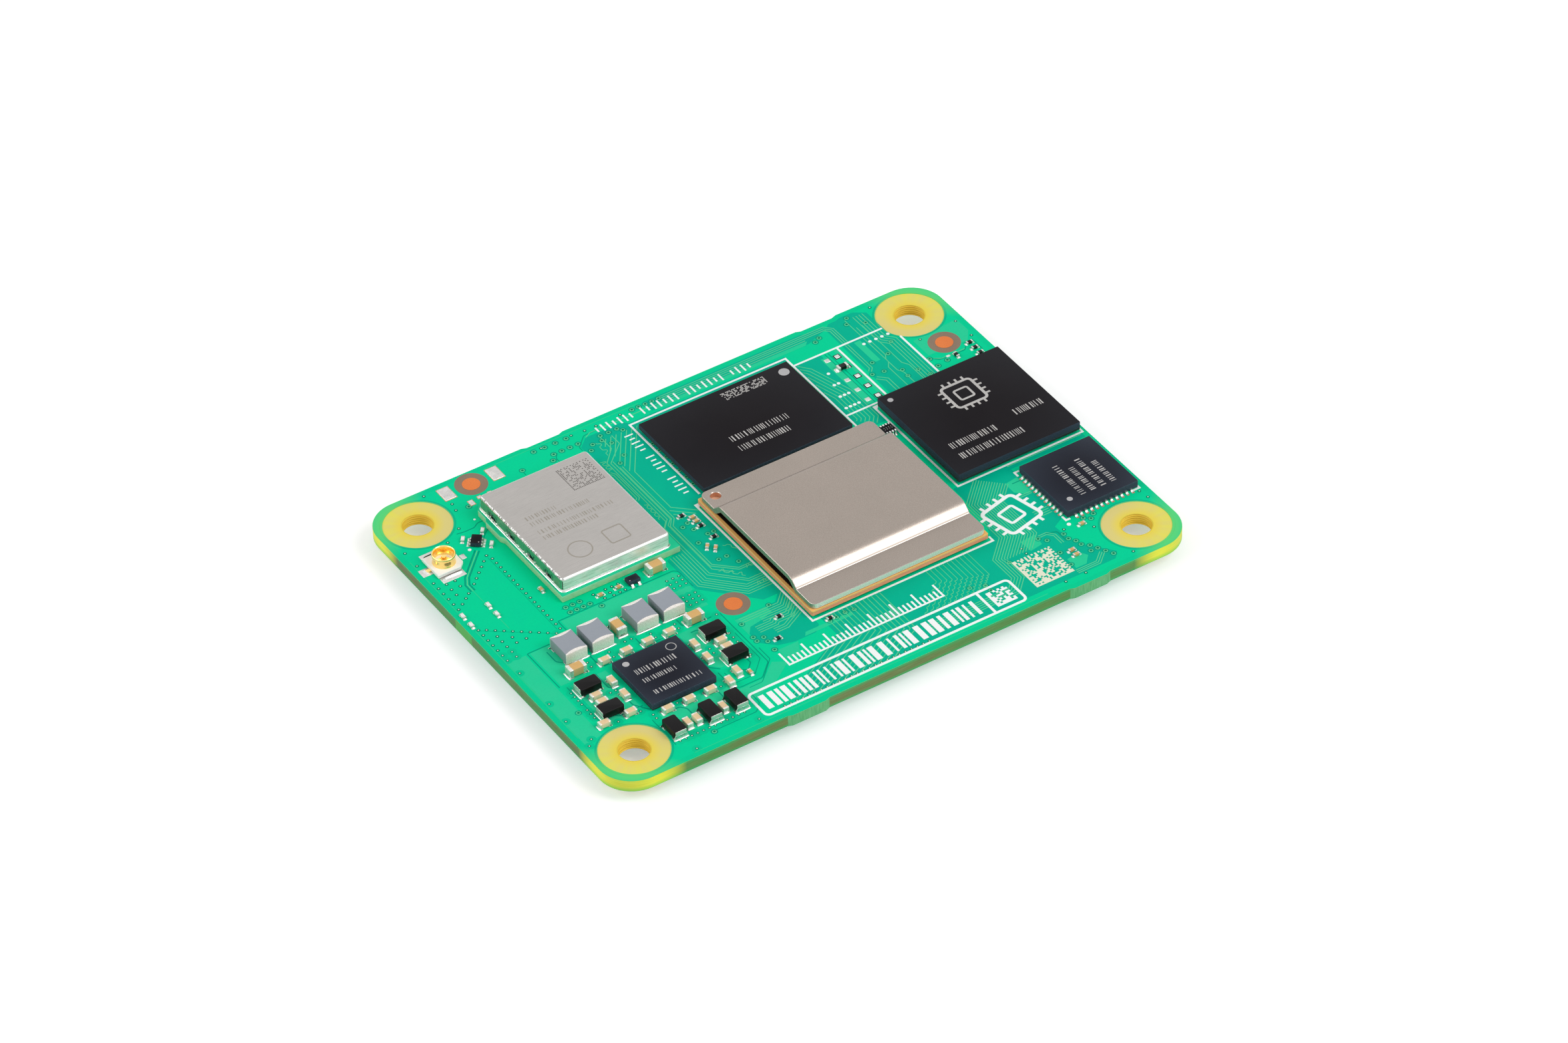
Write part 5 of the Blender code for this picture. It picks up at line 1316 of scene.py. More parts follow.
def buildEthernetChip():
    low, high, size, centre = boxMm("ethernet_chip")
    half, wide, count = ethernetStyle["body"] / 2, ethernetStyle["lead"], ethernetStyle["count"]
    bm = bmesh.new()
    top = high.z - 0.006
    roundBox(bm, (*centre[:2], low.z + 0.02), (half * 2, half * 2, top - low.z - 0.02), 0.05)
    reach = (high.x - low.x) / 2 - half
    for side in range(4):
        for i in range(count):
            part = bmesh.new()
            y = (i - (count - 1) / 2) * ethernetStyle["pitch"]
            roundBox(part, (half + reach / 2 - 0.05, y, -seatGap), (reach, wide - 0.04, 0.03), 0.008, 1, 2)
            roundBox(part, (half + 0.06, y, 0.0), (0.22, wide - 0.04, 0.17), 0.02, 2, 1)
            solderMound(part, half + 0.12, y, 0.0, 0.0, wide - 0.02, reach - 0.2, 0.16, 1)
            addPart(bm, part, 0, centre, side * math.pi / 2)
    addDisc(bm, 20.9, -11.5, 0.25, top - 0.01, top + 0.004, 3, 40)
    for x, length in ((22.2, 4.3), (23.2, 3.4), (24.2, 3.9), (25.2, 2.9)):
        tickRow(bm, x, -11.6, x, -11.6 + length, 0.5, 0.013, 4, top - 0.01)
    looks = [packageMaterials["slate"], solderMaterial, tipMaterial, chipMaterials["dot"],
             chipMaterials["mark"]]
    newPiece("ethernet_chip_look", bm, looks, ["ethernet_chip"], 40)


# Processor: laminate carrier, silicon die and formed lid
processorStyle = {
    "carrier": surface((176, 112, 62), (150, 92, 54), 0.45, 9, 0.2, wear=0.4, wearColor=(255, 214, 140),
                       wearRadius=0.03, specular=0.2),
    # The lid's white specks are painted glints
    "lid": surface((166, 155, 146), (160, 150, 141), 0.34, 15, 0.5, metal=0.92, roughSpread=0.05,
                   patches=0.25, wear=0.75, wearColor=(236, 232, 226), speck=0.6,
                   speckColor=(240, 236, 230), shade=0.15),
    "die": surface((38, 42, 52), (52, 56, 66), 0.25, 6, 0.1),
    "sheet": 0.5, "flange": (2.3, 2.5), "slope": 0.85, "bends": (0.0, 0.0, 0.0, 0.42, 0.16, 0.1),
    "crease": (0.08, 0.06),
    "corner": 0.55, "edge": 0.06, "hole": (-2.86, 4.63, 0.45), "rim": 0.27,
}


def nearHole(tree, reach):
    # 1 within a reach, in the board's plane, of the middle of the lid's hole
    x, y, radius = processorStyle["hole"]
    away = vectorNode(tree, "SUBTRACT", placeMm(tree), (x, y, 0))
    away = vectorNode(tree, "MULTIPLY", away, (1, 1, 0))
    return below(tree, vectorNode(tree, "LENGTH", away, output="Value"), reach)


def paintCarrier(tree, sockets):
    # Copper and resin layers on the sawn sides, a bright rim; painted shade under the lid, light at its hole
    parts = placeParts(tree)
    low, high, size, centre = boxMm("processor_substrate")
    layers = noiseMask(tree, placeMm(tree), (0.6, 0.6, 18.0), 3.0, 0.35, 0.65)
    brown = mixColor(tree, layers, (240, 138, 106), (255, 180, 138))
    fold = spread(tree, parts["Z"], high.z - 0.16, high.z - 0.12)
    side = mixColor(tree, fold, brown, (255, 202, 128))
    inward = []
    for i, axis in enumerate("XY"):
        inward.append(mathNode(tree, "SUBTRACT", absolute(tree, parts[axis], centre[i]), size[i] / 2))
    rim = processorStyle["rim"]
    # Past the rim the top is painted near black, a painted shade under the lid
    inside = spread(tree, mathNode(tree, "MAXIMUM", *inward), -rim - 0.03, -rim + 0.03, 1, 0)
    topShadeAndLight = mixColor(tree, inside, (250, 188, 108), (24, 16, 12))
    # Painted light: round the lid's hole the top is painted pale, where light comes in
    topShadeAndLight = mixColor(tree, nearHole(tree, 0.7), topShadeAndLight, (250, 206, 172))
    upward = facingParts(tree)["Z"]
    sockets["color"] = mixColor(tree, above(tree, upward, 0.6), side, topShadeAndLight)


def paintLid(tree, sockets):
    # Painted light on the upright edges and a painted dark crease; the slope is burnished, the hole coppery
    facing = facingParts(tree)
    upward = facing["Z"]
    parts = placeParts(tree)
    # Painted shade: a dark line along the crease below the slope
    crease = absolute(tree, parts["Y"], boxMm("processor_lid")[0].y + processorStyle["flange"][1])
    crease = spread(tree, crease, 0.03, 0.06, 0.7, 0)
    cover(tree, sockets, crease, (92, 84, 78))
    # Upright edges are painted pale, a painted reflection, and darker and greener on the left, painted shade
    sheared = below(tree, absolute(tree, upward), 0.35)
    shadedLeftEdges = spread(tree, facing["X"], -0.4, -0.9)
    edge = mixColor(tree, shadedLeftEdges, (240, 240, 230), (136, 150, 128))
    cover(tree, sockets, sheared, edge)
    sockets["metal"] = spread(tree, sheared, 0, 1, processorStyle["lid"]["metal"], 0.25)
    tilted = spread(tree, upward, 0.93, 0.82)
    sockets["rough"] = mathNode(tree, "SUBTRACT", sockets["rough"], times(tree, tilted, 0.07))
    inHole = times(tree, nearHole(tree, processorStyle["hole"][2] + 0.01), sheared)
    cover(tree, sockets, inHole, (206, 150, 116))


def lidStations(low, high, sheet):
    back, front = processorStyle["flange"]
    slope = processorStyle["slope"]
    flat, raised = low.z + sheet / 2, high.z - sheet / 2
    wide, deep = processorStyle["crease"]
    corners = [(low.y, flat), (low.y + front - wide, flat), (low.y + front, flat - deep)]
    corners += [(low.y + front + wide * 0.6, flat + wide * 0.4), (low.y + front + slope, raised)]
    corners += [(high.y - back - slope, raised), (high.y - back, flat), (high.y, flat)]
    line = roundLine(corners, processorStyle["bends"], 8)
    radius = processorStyle["corner"]
    for i in range(6, 0, -1):
        inset = radius * (1 - math.cos(math.pi / 2 * i / 6))
        line.insert(1, (low.y + inset, flat))
        line.insert(-1, (high.y - inset, flat))
    return sorted(set(line))


def buildProcessor():
    low, high, size, centre = boxMm("processor_substrate")
    bottom = low.z + 0.2
    outline = rectPoints(low.x, low.y, high.x, high.y, 0.12, 3)
    inner = rectPoints(low.x + 0.02, low.y + 0.02, high.x - 0.02, high.y - 0.02, 0.11, 3)
    rims = ((inner, bottom), (outline, bottom + 0.02), (outline, high.z - 0.02), (inner, high.z))
    bm = bmesh.new()
    loft(bm, [atHeight(points, z) for points, z in rims])
    ballRows(bm, low, high, bottom, 1)
    carrier = makeMaterial("chip carrier", processorStyle["carrier"], paintCarrier)
    newPiece("processor_carrier", bm, [carrier, solderMaterial], ["processor_substrate"],
             40)
    low, high, size, centre = boxMm("processor_die")
    bm = bmesh.new()
    roundBox(bm, centre, size, 0.02, 1, 0)
    # A low skirt of resin spreads round the die
    wide = rectPoints(low.x - 0.35, low.y - 0.35, high.x + 0.35, high.y + 0.35, 0.3)
    narrow = rectPoints(low.x, low.y, high.x, high.y, 0.05)
    loft(bm, [atHeight(wide, low.z), atHeight(narrow, low.z + 0.22)])
    newPiece("processor_die_look", bm, [makeMaterial("silicon", processorStyle["die"])], ["processor_die"])
    low, high, size, centre = boxMm("processor_lid")
    bm = bmesh.new()
    sheet, radius = processorStyle["sheet"], processorStyle["corner"]
    stations = lidStations(low, high, sheet)
    loops = []
    for i, (y, z) in enumerate(stations):
        before, after = stations[max(0, i - 1)], stations[min(len(stations) - 1, i + 1)]
        along = Vector((after[0] - before[0], after[1] - before[1])).normalized()
        normal = Vector((-along.y, along.x))
        fromEnd = min(y - low.y, high.y - y)
        inset = radius - math.sqrt(max(0, radius**2 - max(0, radius - fromEnd) ** 2))
        half = (high.x - low.x) / 2 - inset
        thin = 0.03 if i in (0, len(stations) - 1) else 0.0
        section = rectPoints(-half, -sheet / 2 + thin, half, sheet / 2 - thin, processorStyle["edge"], 3)
        loops.append([(centre[0] + a, y + normal.x * b, z + normal.y * b) for a, b in section])
    loft(bm, loops)
    lidMaterial = makeMaterial("lid nickel", processorStyle["lid"], paintLid)
    lid = newPiece("processor_lid_look", bm, [lidMaterial], ["processor_lid"], 14)
    x, y, hole = processorStyle["hole"]
    cutter = bmesh.new()
    lathe(cutter, [(0, 2.9), (hole, 2.9), (hole, 3.41), (hole + 0.08, 3.5), (0, 3.5)], 40, 0, (x, y, 0))
    cutOut(lid, meshObject("hole", cutter), 14)


# Shielded radio module
radioStyle = {
    "can": surface((183, 179, 175), (176, 172, 168), 0.33, 16, 0.28, metal=0.95, patches=0.4,
                   stretch=(0.07, 1.0, 1.0), depth=0.008, wear=0.9, wearColor=(250, 250, 248),
                   wearRadius=0.06, shade=0.05),
    "edge": surface((186, 226, 182), (160, 206, 164), 0.5, 8, 0.2, patches=2.0, stretch=(0.3, 0.3, 2.5),
                    specular=0.2),
    "code": surface((84, 78, 74), (70, 66, 62), 0.6, 20, 0.15),
    "mark": surface((160, 154, 144), (150, 144, 134), 0.5, 20, 0.15, metal=0.7),
    "sheet": 0.15, "corner": 0.34, "fold": 0.26, "gates": (12.7, 9.8, 6.8, 4.05),
}


def paintModuleEdge(tree, sockets):
    # Solder mask on the module's top, laminate on its sides
    level = above(tree, facingParts(tree)["Z"], 0.6)
    height = placeParts(tree)["Z"]
    top = boxMm("wireless_board")[1].z
    rim = spread(tree, height, top - 0.14, top - 0.08)
    green = mixColor(tree, rim, sockets["color"], (160, 240, 196))
    sockets["color"] = mixColor(tree, level, green, (16, 206, 150))


def paintCan(tree, sockets):
    # Painted light: green reflection on the walls, highlight on the fold, shade on the left; the top is
    # brushed
    facing = facingParts(tree, "Normal")
    place = placeMm(tree)
    parts = placeParts(tree)
    steep = absolute(tree, facing["Z"])
    wall = spread(tree, steep, 0.12, 0.3, 1, 0)
    fold = times(tree, spread(tree, steep, 0.94, 0.8), mathNode(tree, "SUBTRACT", 1.0, wall))
    streaks = noiseMask(tree, place, (0.8, 0.8, 9.0), 3.0, 0.5, 0.66)
    # Painted reflection: pale green streaks on the walls
    paintedWallLight = mixColor(tree, times(tree, streaks, 0.6), (246, 250, 244), (176, 200, 184))
    shadedLeftWall = spread(tree, facing["X"], -0.5, -0.8)
    specks = noiseMask(tree, place, (7.0, 7.0, 7.0), 2.0, 0.42, 0.6)
    speckled = mixColor(tree, specks, (236, 236, 232), (120, 118, 116))
    # Painted highlight: the fold near white, with specks where it turns to the left
    paintedFoldHighlight = mixColor(tree, spread(tree, facing["X"], -0.2, -0.4), (255, 255, 253), speckled)
    # Painted shade: the left wall darker and greener
    paintedWallLight = mixColor(tree, shadedLeftWall, paintedWallLight, (126, 178, 148))
    cover(tree, sockets, fold, paintedFoldHighlight)
    cover(tree, sockets, wall, paintedWallLight)
    plain = spread(tree, wall, 0, 1, radioStyle["can"]["metal"], 0.32)
    plain = mathNode(tree, "SUBTRACT", plain, times(tree, fold, 0.6))
    sockets["metal"] = mathNode(tree, "ADD", plain, times(tree, shadedLeftWall, 0.45), clamp=True)
    # Painted shade darkens the left wall in noisy patches round each gate
    nearest = absolute(tree, parts["Y"], radioStyle["gates"][0])
    for gate in radioStyle["gates"][1:]:
        nearest = mathNode(tree, "MINIMUM", nearest, absolute(tree, parts["Y"], gate))
    low = boxMm("wireless_shield")[0]
    near = times(tree, spread(tree, nearest, 0.5, 0.85, 1, 0), shadedLeftWall)
    near = times(tree, near, spread(tree, parts["Z"], low.z + 0.6, low.z + 0.85, 1, 0))
    gateShade = times(tree, near, noiseMask(tree, place, (5.0, 5.0, 4.0), 3.0, 0.44, 0.54))
    cover(tree, sockets, gateShade, (44, 46, 44))


def buildRadio():
    low, high = boxMm("wireless_board")[:2]
    outline = [(low.x, low.y), (high.x, low.y), (high.x, high.y), (low.x + 0.7, high.y),
               (low.x, high.y - 0.9)]
    outline += [(low.x, 13.4), (low.x - 0.22, 13.0), (low.x - 0.22, 10.8), (low.x, 10.4)]
    rims = ((0.02, low.z), (0.0, low.z + 0.03), (0.0, high.z - 0.03), (0.025, high.z))
    bm = bmesh.new()
    loft(bm, [atHeight(offsetLine(outline, inset, True), z) for inset, z in rims])
    edge = makeMaterial("module laminate", radioStyle["edge"], paintModuleEdge)
    newPiece("wireless_board_look", bm, [edge], ["wireless_board"])
    hidden = (("wireless_chip", 0.04, packageMaterials["black"]), ("wireless_crystal", 0.12, tinMaterial))
    for node, radius, material in hidden:
        low, high, size, centre = boxMm(node)
        bm = bmesh.new()
        roundBox(bm, centre, size, radius, 3)
        newPiece(node + "_look", bm, [material], [node])
    low, high, size, centre = boxMm("wireless_shield")
    top = high.z - 0.008
    sheet, corner, fold = radioStyle["sheet"], radioStyle["corner"], radioStyle["fold"]
    loops = []

    def ring(inset, z):
        points = rectPoints(low.x + inset, low.y + inset, high.x - inset, high.y - inset,
                            max(0.05, corner - inset), 6)
        loops.append(atHeight(points, z))

    ring(sheet + 0.3, top - sheet)
    ring(sheet, top - sheet - 0.1)
    ring(sheet, low.z)
    ring(0.0, low.z)
    for i in range(9):
        a = math.pi / 2 * i / 8
        ring(fold * (1 - math.cos(a)), top - fold + fold * math.sin(a))
    bm = bmesh.new()
    loft(bm, loops)
    canMaterial = makeMaterial("shield steel", radioStyle["can"], paintCan)
    can = newPiece("wireless_shield_look", bm, [canMaterial], ["wireless_shield"], smooth=40)
    cutter = bmesh.new()
    for y in radioStyle["gates"]:
        roundBox(cutter, (low.x, y, low.z + 0.1), (0.8, 0.85, 0.44), 0.12, 3)
    for x, turn in ((low.x + 0.06, 0.785), (high.x - 0.06, -0.785)):
        roundBox(cutter, (x, low.y + 0.06, low.z - 0.1), (0.9, 0.07, 1.12), turn=turn)
        roundBox(cutter, (x, high.y - 0.06, low.z - 0.1), (0.9, 0.07, 1.12), turn=-turn)
    cutOut(can, meshObject("gates", cutter))
    # A skirt of solder holds the shield, with blobs along its left wall
    bm = bmesh.new()
    loops = []
    for outset, z in ((0.11, 0.0), (0.07, 0.03), (0.04, 0.08), (0.015, 0.15), (-0.01, 0.18)):
        points = rectPoints(low.x - outset, low.y - outset, high.x + outset, high.y + outset,
                            corner + outset, 6)
        loops.append(atHeight(points, low.z + z - seatGap))
    loft(bm, loops, capped=False)
    spots = [y + side * dice.uniform(0.5, 0.75) for y in radioStyle["gates"] for side in (-1, 1)]
    spots += [dice.uniform(low.y + 0.6, high.y - 0.6) for i in range(8)]
    for y in spots:
        part = bmesh.new()
        bmesh.ops.create_icosphere(part, subdivisions=2, radius=1.0)
        size = (dice.uniform(0.05, 0.1), dice.uniform(0.07, 0.16), dice.uniform(0.08, 0.26))
        bmesh.ops.scale(part, vec=size, verts=part.verts)
        addPart(bm, part, 0, (low.x - 0.02, y, low.z + 0.12))
    newPiece("shield_solder", bm, [solderMaterial], ["wireless_shield"], smooth=60)
    bm = bmesh.new()
    dotCode(bm, -12.45, 10.85, -9.45, 13.85, 20, 20, top - 0.01, top + 0.003, 0, size=0.62)
    for y, start, stop in ((10.0, -17.6, -14.6), (9.2, -17.6, -12.2), (8.0, -17.6, -10.6),
                           (7.2, -17.6, -12.6)):
        tickRow(bm, start, y, stop, y, 0.5, 0.012, 1, top - 0.01)
    for points in (ringPoints(-15.9, 4.4, 1.0, 48), rectPoints(-13.4, 3.5, -11.6, 5.3, 0.2)):
        ribbon(bm, points, 0.12, top - 0.01, top + 0.003, 1, closed=True, shoulder=0.005)
    looks = [makeMaterial("burnt dots", radioStyle["code"]),
             makeMaterial("faint marks", radioStyle["mark"])]
    newPiece("shield_marks", bm, looks, ["wireless_shield"])


# Coaxial socket
socketStyle = {
    "base": surface((255, 254, 250), (253, 250, 243), 0.4, 10, 0.05, wear=0.5, wearColor=(255, 254, 250),
                    specular=0.4, shade=0.02),
    "centre": (-24.8, 11.0),
}


def buildSocket():
    x, y = socketStyle["centre"]
    base = boxMm("antenna_socket_base")[0].z
    tall, pinTop = [boxMm("antenna_socket_" + part)[1].z for part in ("shell", "pin")]
    bm = bmesh.new()
    half, chamfer = 1.3, 0.5
    outline = [(x - half, y - half), (x + half - chamfer, y - half), (x + half, y - half + chamfer)]
    outline += [(x + half, y + half - chamfer), (x + half - chamfer, y + half), (x - half, y + half)]
    rims = ((0.03, 0.02), (0.0, 0.05), (0.0, 0.3), (0.04, 0.35))
    loft(bm, [atHeight(offsetLine(outline, inset, True), base + z) for inset, z in rims])
    moulding = makeMaterial("white moulding", socketStyle["base"])
    newPiece("socket_base", bm, [moulding], ["antenna_socket_base"], smooth=30)
    bm = bmesh.new()
    foot = base + 0.02
    profile = [(0.86, foot), (0.86, tall - 0.08), (0.9, tall - 0.02), (0.94, tall), (0.98, tall - 0.03)]
    profile += [(1.0, tall - 0.1), (0.985, tall - 0.18), (0.95, tall - 0.26), (0.935, tall - 0.36)]
    profile += [(0.94, foot + 0.5), (0.96, foot + 0.4), (1.0, foot + 0.3), (1.0, foot)]
    lathe(bm, profile, 64, 0, (x, y, 0), closed=True)
    roundBox(bm, (x - 1.35, y, foot - 0.02), (0.7, 0.36, 0.12), 0.03)
    newPiece("socket_shell", bm, [goldMaterial], ["antenna_socket_shell"], smooth=40)
    bm = bmesh.new()
    profile = [(0, foot), (0.62, foot), (0.62, foot + 0.3), (0.5, foot + 0.36), (0.22, foot + 0.4),
               (0.22, pinTop - 0.08)]
    profile += [(0.2, pinTop - 0.03), (0.13, pinTop), (0, pinTop)]
    lathe(bm, profile, 40, 0, (x, y, 0))
    newPiece("socket_pin", bm, [goldMaterial], ["antenna_socket_pin"], smooth=40)
    bm = bmesh.new()
    for side in (-1, 1):
        roundBox(bm, (x - 0.15, y + side * 1.55, topZ - 0.005), (2.15, 0.95, 0.03), 0.01, 1, 0)
        solderMound(bm, x - 0.1, y + side * 1.62, topZ + 0.01, side * math.pi / 2, 1.7, 0.32, 0.18, 1)
    roundBox(bm, (x - 1.7, y, topZ - 0.005), (1.0, 0.95, 0.03), 0.01, 1, 0)
    solderMound(bm, x - 1.66, y, topZ + 0.01, math.pi, 0.6, 0.4, 0.14, 1)
    roundBox(bm, (x + 1.75, y, topZ - 0.005), (0.45, 0.6, 0.03), 0.01, 1, 0)
    newPiece("socket_pads", bm, [tinMaterial, solderMaterial], ["antenna_socket_base"], smooth=50)


# Small leaded chips
smallStyle = {"lead": 0.2, "reach": 0.24, "shoulder": 0.16, "thick": 0.07}


def gullLead(bm, x, y, turn):
    # A lead that leaves the body, bends down and ends in a flat foot
    side, reach, shoulder = smallStyle["lead"] / 2, smallStyle["reach"], smallStyle["shoulder"]
    line = roundLine([(-0.06, shoulder), (reach * 0.35, shoulder), (reach * 0.55, 0.05), (reach, 0.05)],
                     0.06, 3)
    upper, lower = offsetLine(line, smallStyle["thick"] / 2), offsetLine(line, -smallStyle["thick"] / 2)
    part = bmesh.new()
    loops = []
    for (ax, az), (bx, bz) in zip(upper, lower):
        loops.append([(ax, -side, az), (ax, side, az), (bx, side, bz), (bx, -side, bz)])
    loft(part, loops)
    addPart(bm, part, 1, (x, y, -seatGap), turn)


def leadedChip(node, length, width, height, leads, turn, material):
    low, high, size, place = boxMm(node)
    bm = bmesh.new()
    roundBox(bm, (0, 0, 0.05), (length, width, height - 0.055), 0.05)
    for side in (-1, 1):
        for x in leads:
            direction = math.pi / 2 * side
            gullLead(bm, x, side * width / 2, direction)
            roundBox(bm, (x, side * (width / 2 + 0.16), -seatGap), (0.28, 0.34, 0.025), 0.008, 1, 2)
            solderMound(bm, x, side * (width / 2 + 0.2), 0.0, direction, 0.22, 0.12, 0.09, 2)
    addDisc(bm, -length / 2 + 0.17, -width / 2 + 0.17, 0.05, height - 0.015, height - 0.002, 3, 20)
    looks = [material, tinMaterial, solderMaterial, chipMaterials["mark"]]
    newPiece(node + "_look", bm, looks, [node], 40, place, math.radians(turn))


def buildSmallChips():
    leadedChip("antenna_switch", 1.15, 0.85, 0.45, (-0.36, 0, 0.36), 52, packageMaterials["black"])
    leadedChip("supply_switch", 1.1, 0.75, 0.45, (-0.32, 0.32), 0, packageMaterials["slate"])
    low, high, size, centre = boxMm("resistor_array")
    bm = bmesh.new()
    roundBox(bm, centre, (size.x, size.y - 0.06, size.z - 0.01), 0.03)
    for side in (-1, 1):
        for i in range(4):
            x = centre[0] + (i - 1.5) * size.x / 4
            y = centre[1] + side * (size.y / 2 - 0.09)
            roundBox(bm, (x, y, low.z), (size.x / 4 - 0.1, 0.2, size.z), 0.02, 1, 1)
            roundBox(bm, (x, y + side * 0.14, low.z - seatGap), (size.x / 4 - 0.06, 0.3, 0.03), 0.01, 1, 1)
    dots = [(centre[0] + (i - 1.5) * 0.22, centre[1] + (j - 0.5) * 0.2) for i in range(4) for j in range(2)]
    for x, y in dots:
        addDisc(bm, x, y, 0.035, low.z + size.z - 0.02, low.z + size.z - 0.007, 2, 14)
    looks = [packageMaterials["black"], solderMaterial, chipMaterials["mark"]]
    newPiece("resistor_array_look", bm, looks, ["resistor_array"], smooth=40)


# Plugs on the underside
plugStyle = {
    "body": surface((34, 33, 34), (42, 41, 42), 0.5, 12, 0.2, wear=0.5, wearColor=(84, 82, 80),
                    wearRadius=0.03, specular=0.25),
    "count": 50, "pitch": 0.4, "wide": 0.18, "slot": (20.6, 0.9), "depth": 0.75,
}


def buildPlugs():
    body = makeMaterial("plug moulding", plugStyle["body"])
    slotLength, slotWidth = plugStyle["slot"]
    count, pitch, wide = plugStyle["count"], plugStyle["pitch"], plugStyle["wide"]
    slotX, slotY = slotLength / 2, slotWidth / 2
    for node in ("connector_front", "connector_back"):
        low, high, size, (cx, cy, z) = boxMm(node)
        halfX, halfY = (high.x - low.x) / 2, 1.25
        rims = (
            (slotX, slotY, low.z + plugStyle["depth"], 0.08),
            (slotX, slotY, low.z + 0.06, 0.08),
            (slotX + 0.06, slotY + 0.06, low.z, 0.1),
            (halfX - 0.06, halfY - 0.06, low.z, 0.12),
            (halfX, halfY, low.z + 0.06, 0.15),
            (halfX, halfY, high.z - 0.03, 0.15),
            (halfX - 0.03, halfY - 0.03, high.z, 0.13),
        )
        bm = bmesh.new()
        loft(bm, [atHeight(rectPoints(-x, cy - y, x, cy + y, radius, 4), z) for x, y, z, radius in rims])
        for side in (-1, 1):
            for i in range(count):
                x = (i - (count - 1) / 2) * pitch
                # Contact in the slot, its bend on the mating face, its tail and its solder
                roundBox(bm, (x, cy + side * slotY, low.z + 0.03), (wide, 0.05, plugStyle["depth"] - 0.05),
                         0.012, 1, 1)
                roundBox(bm, (x, cy + side * (slotY + 0.28), low.z), (wide, 0.5, 0.04), 0.012, 1, 1)
                roundBox(bm, (x, cy + side * (halfY + 0.17), high.z - 0.14), (wide, 0.42, 0.12), 0.02, 1, 1)
                roundBox(bm, (x, cy + side * (halfY + 0.2), high.z - 0.01), (wide + 0.04, 0.44, 0.028),
                         0.006, 1, 2)
        for end in (-1, 1):
            roundBox(bm, (end * (halfX - 0.35), cy, low.z), (0.42, 1.5, 0.035), 0.012, 1, 1)
        newPiece(node + "_look", bm, [body, goldMaterial, solderMaterial], [node], 40)


# Underside of the board
def buildUnderside():
    low, high = bottomZ + 0.005, bottomZ - 0.012
    bm = bmesh.new()
    for sign in (-1, 1):
        for i in range(24):
            x = (i - 11.5) * 0.8
            reach = 8.2 - 0.22 * abs(i - 11.5)
            line = [(x, sign * 14.5), (x, sign * 12.6), (x * 0.72, sign * 11.2), (x * 0.72, sign * reach)]
            ribbon(bm, line, traceWidth, low, high)
    for x0, count in ((-21.0, 7), (16.5, 9)):
        line = [(x0, -9.0), (x0, 4.0), (x0 + 2.0, 6.0), (x0 + 2.0, 9.5)]
        bundle(bm, line, count, -0.45, traceWidth, low, high)
    boardPiece("underside_traces", bm, masks("trace"), 25)
    bm = bmesh.new()
    for i in range(150):
        x, y = dice.uniform(-25, 25), dice.uniform(-13.5, 13.5)
        if -2.5 < x < 11.5 and -9 < y < 3.5:
            continue
        lathe(bm, [(0.2, low), (0.16, bottomZ - 0.02), (0.07, bottomZ - 0.018), (0, bottomZ)], 12, 0,
              (x, y, 0))
    for i in range(34):
        x, y = -25.0 + (i % 17) * 3.1, (-13.6 if i < 17 else 13.6) + dice.uniform(-0.4, 0.4)
        addDisc(bm, x, y, 0.4, bottomZ - 0.018, bottomZ + 0.01, 1, 28)
    for x, y in ((-17.6, 8.4), (20.4, -8.8), (-20.2, -11.8)):
        addDisc(bm, x, y, 1.3, bottomZ - 0.01, bottomZ + 0.01, 3, 48)
        addDisc(bm, x, y, 0.7, bottomZ - 0.03, bottomZ + 0.01, 2, 40)
    looks = [maskMaterials["light"], goldMaterial, copperMaterial, brownMaterial]
    boardPiece("underside_pads", bm, looks, 50)
    bm = bmesh.new()
    for sign in (-1, 1):
        frameLine = rectPoints(-12.1, sign * screwY - 2.1, 12.1, sign * screwY + 2.1, 0.3)
        ribbon(bm, frameLine, 0.2, low, high - 0.008, closed=True, shoulder=0.015)
    ribbon(bm, rectPoints(-2.4, -8.9, 11.4, 3.2, 0.2), 0.15, low, high - 0.008, closed=True, shoulder=0.015)
    for y in (-18.2, 14.9):
        addDisc(bm, -12.8, y, 0.25, bottomZ - 0.02, bottomZ + 0.01, 0, 24)
    boardPiece("underside_print", bm, [inkMaterial], 30)


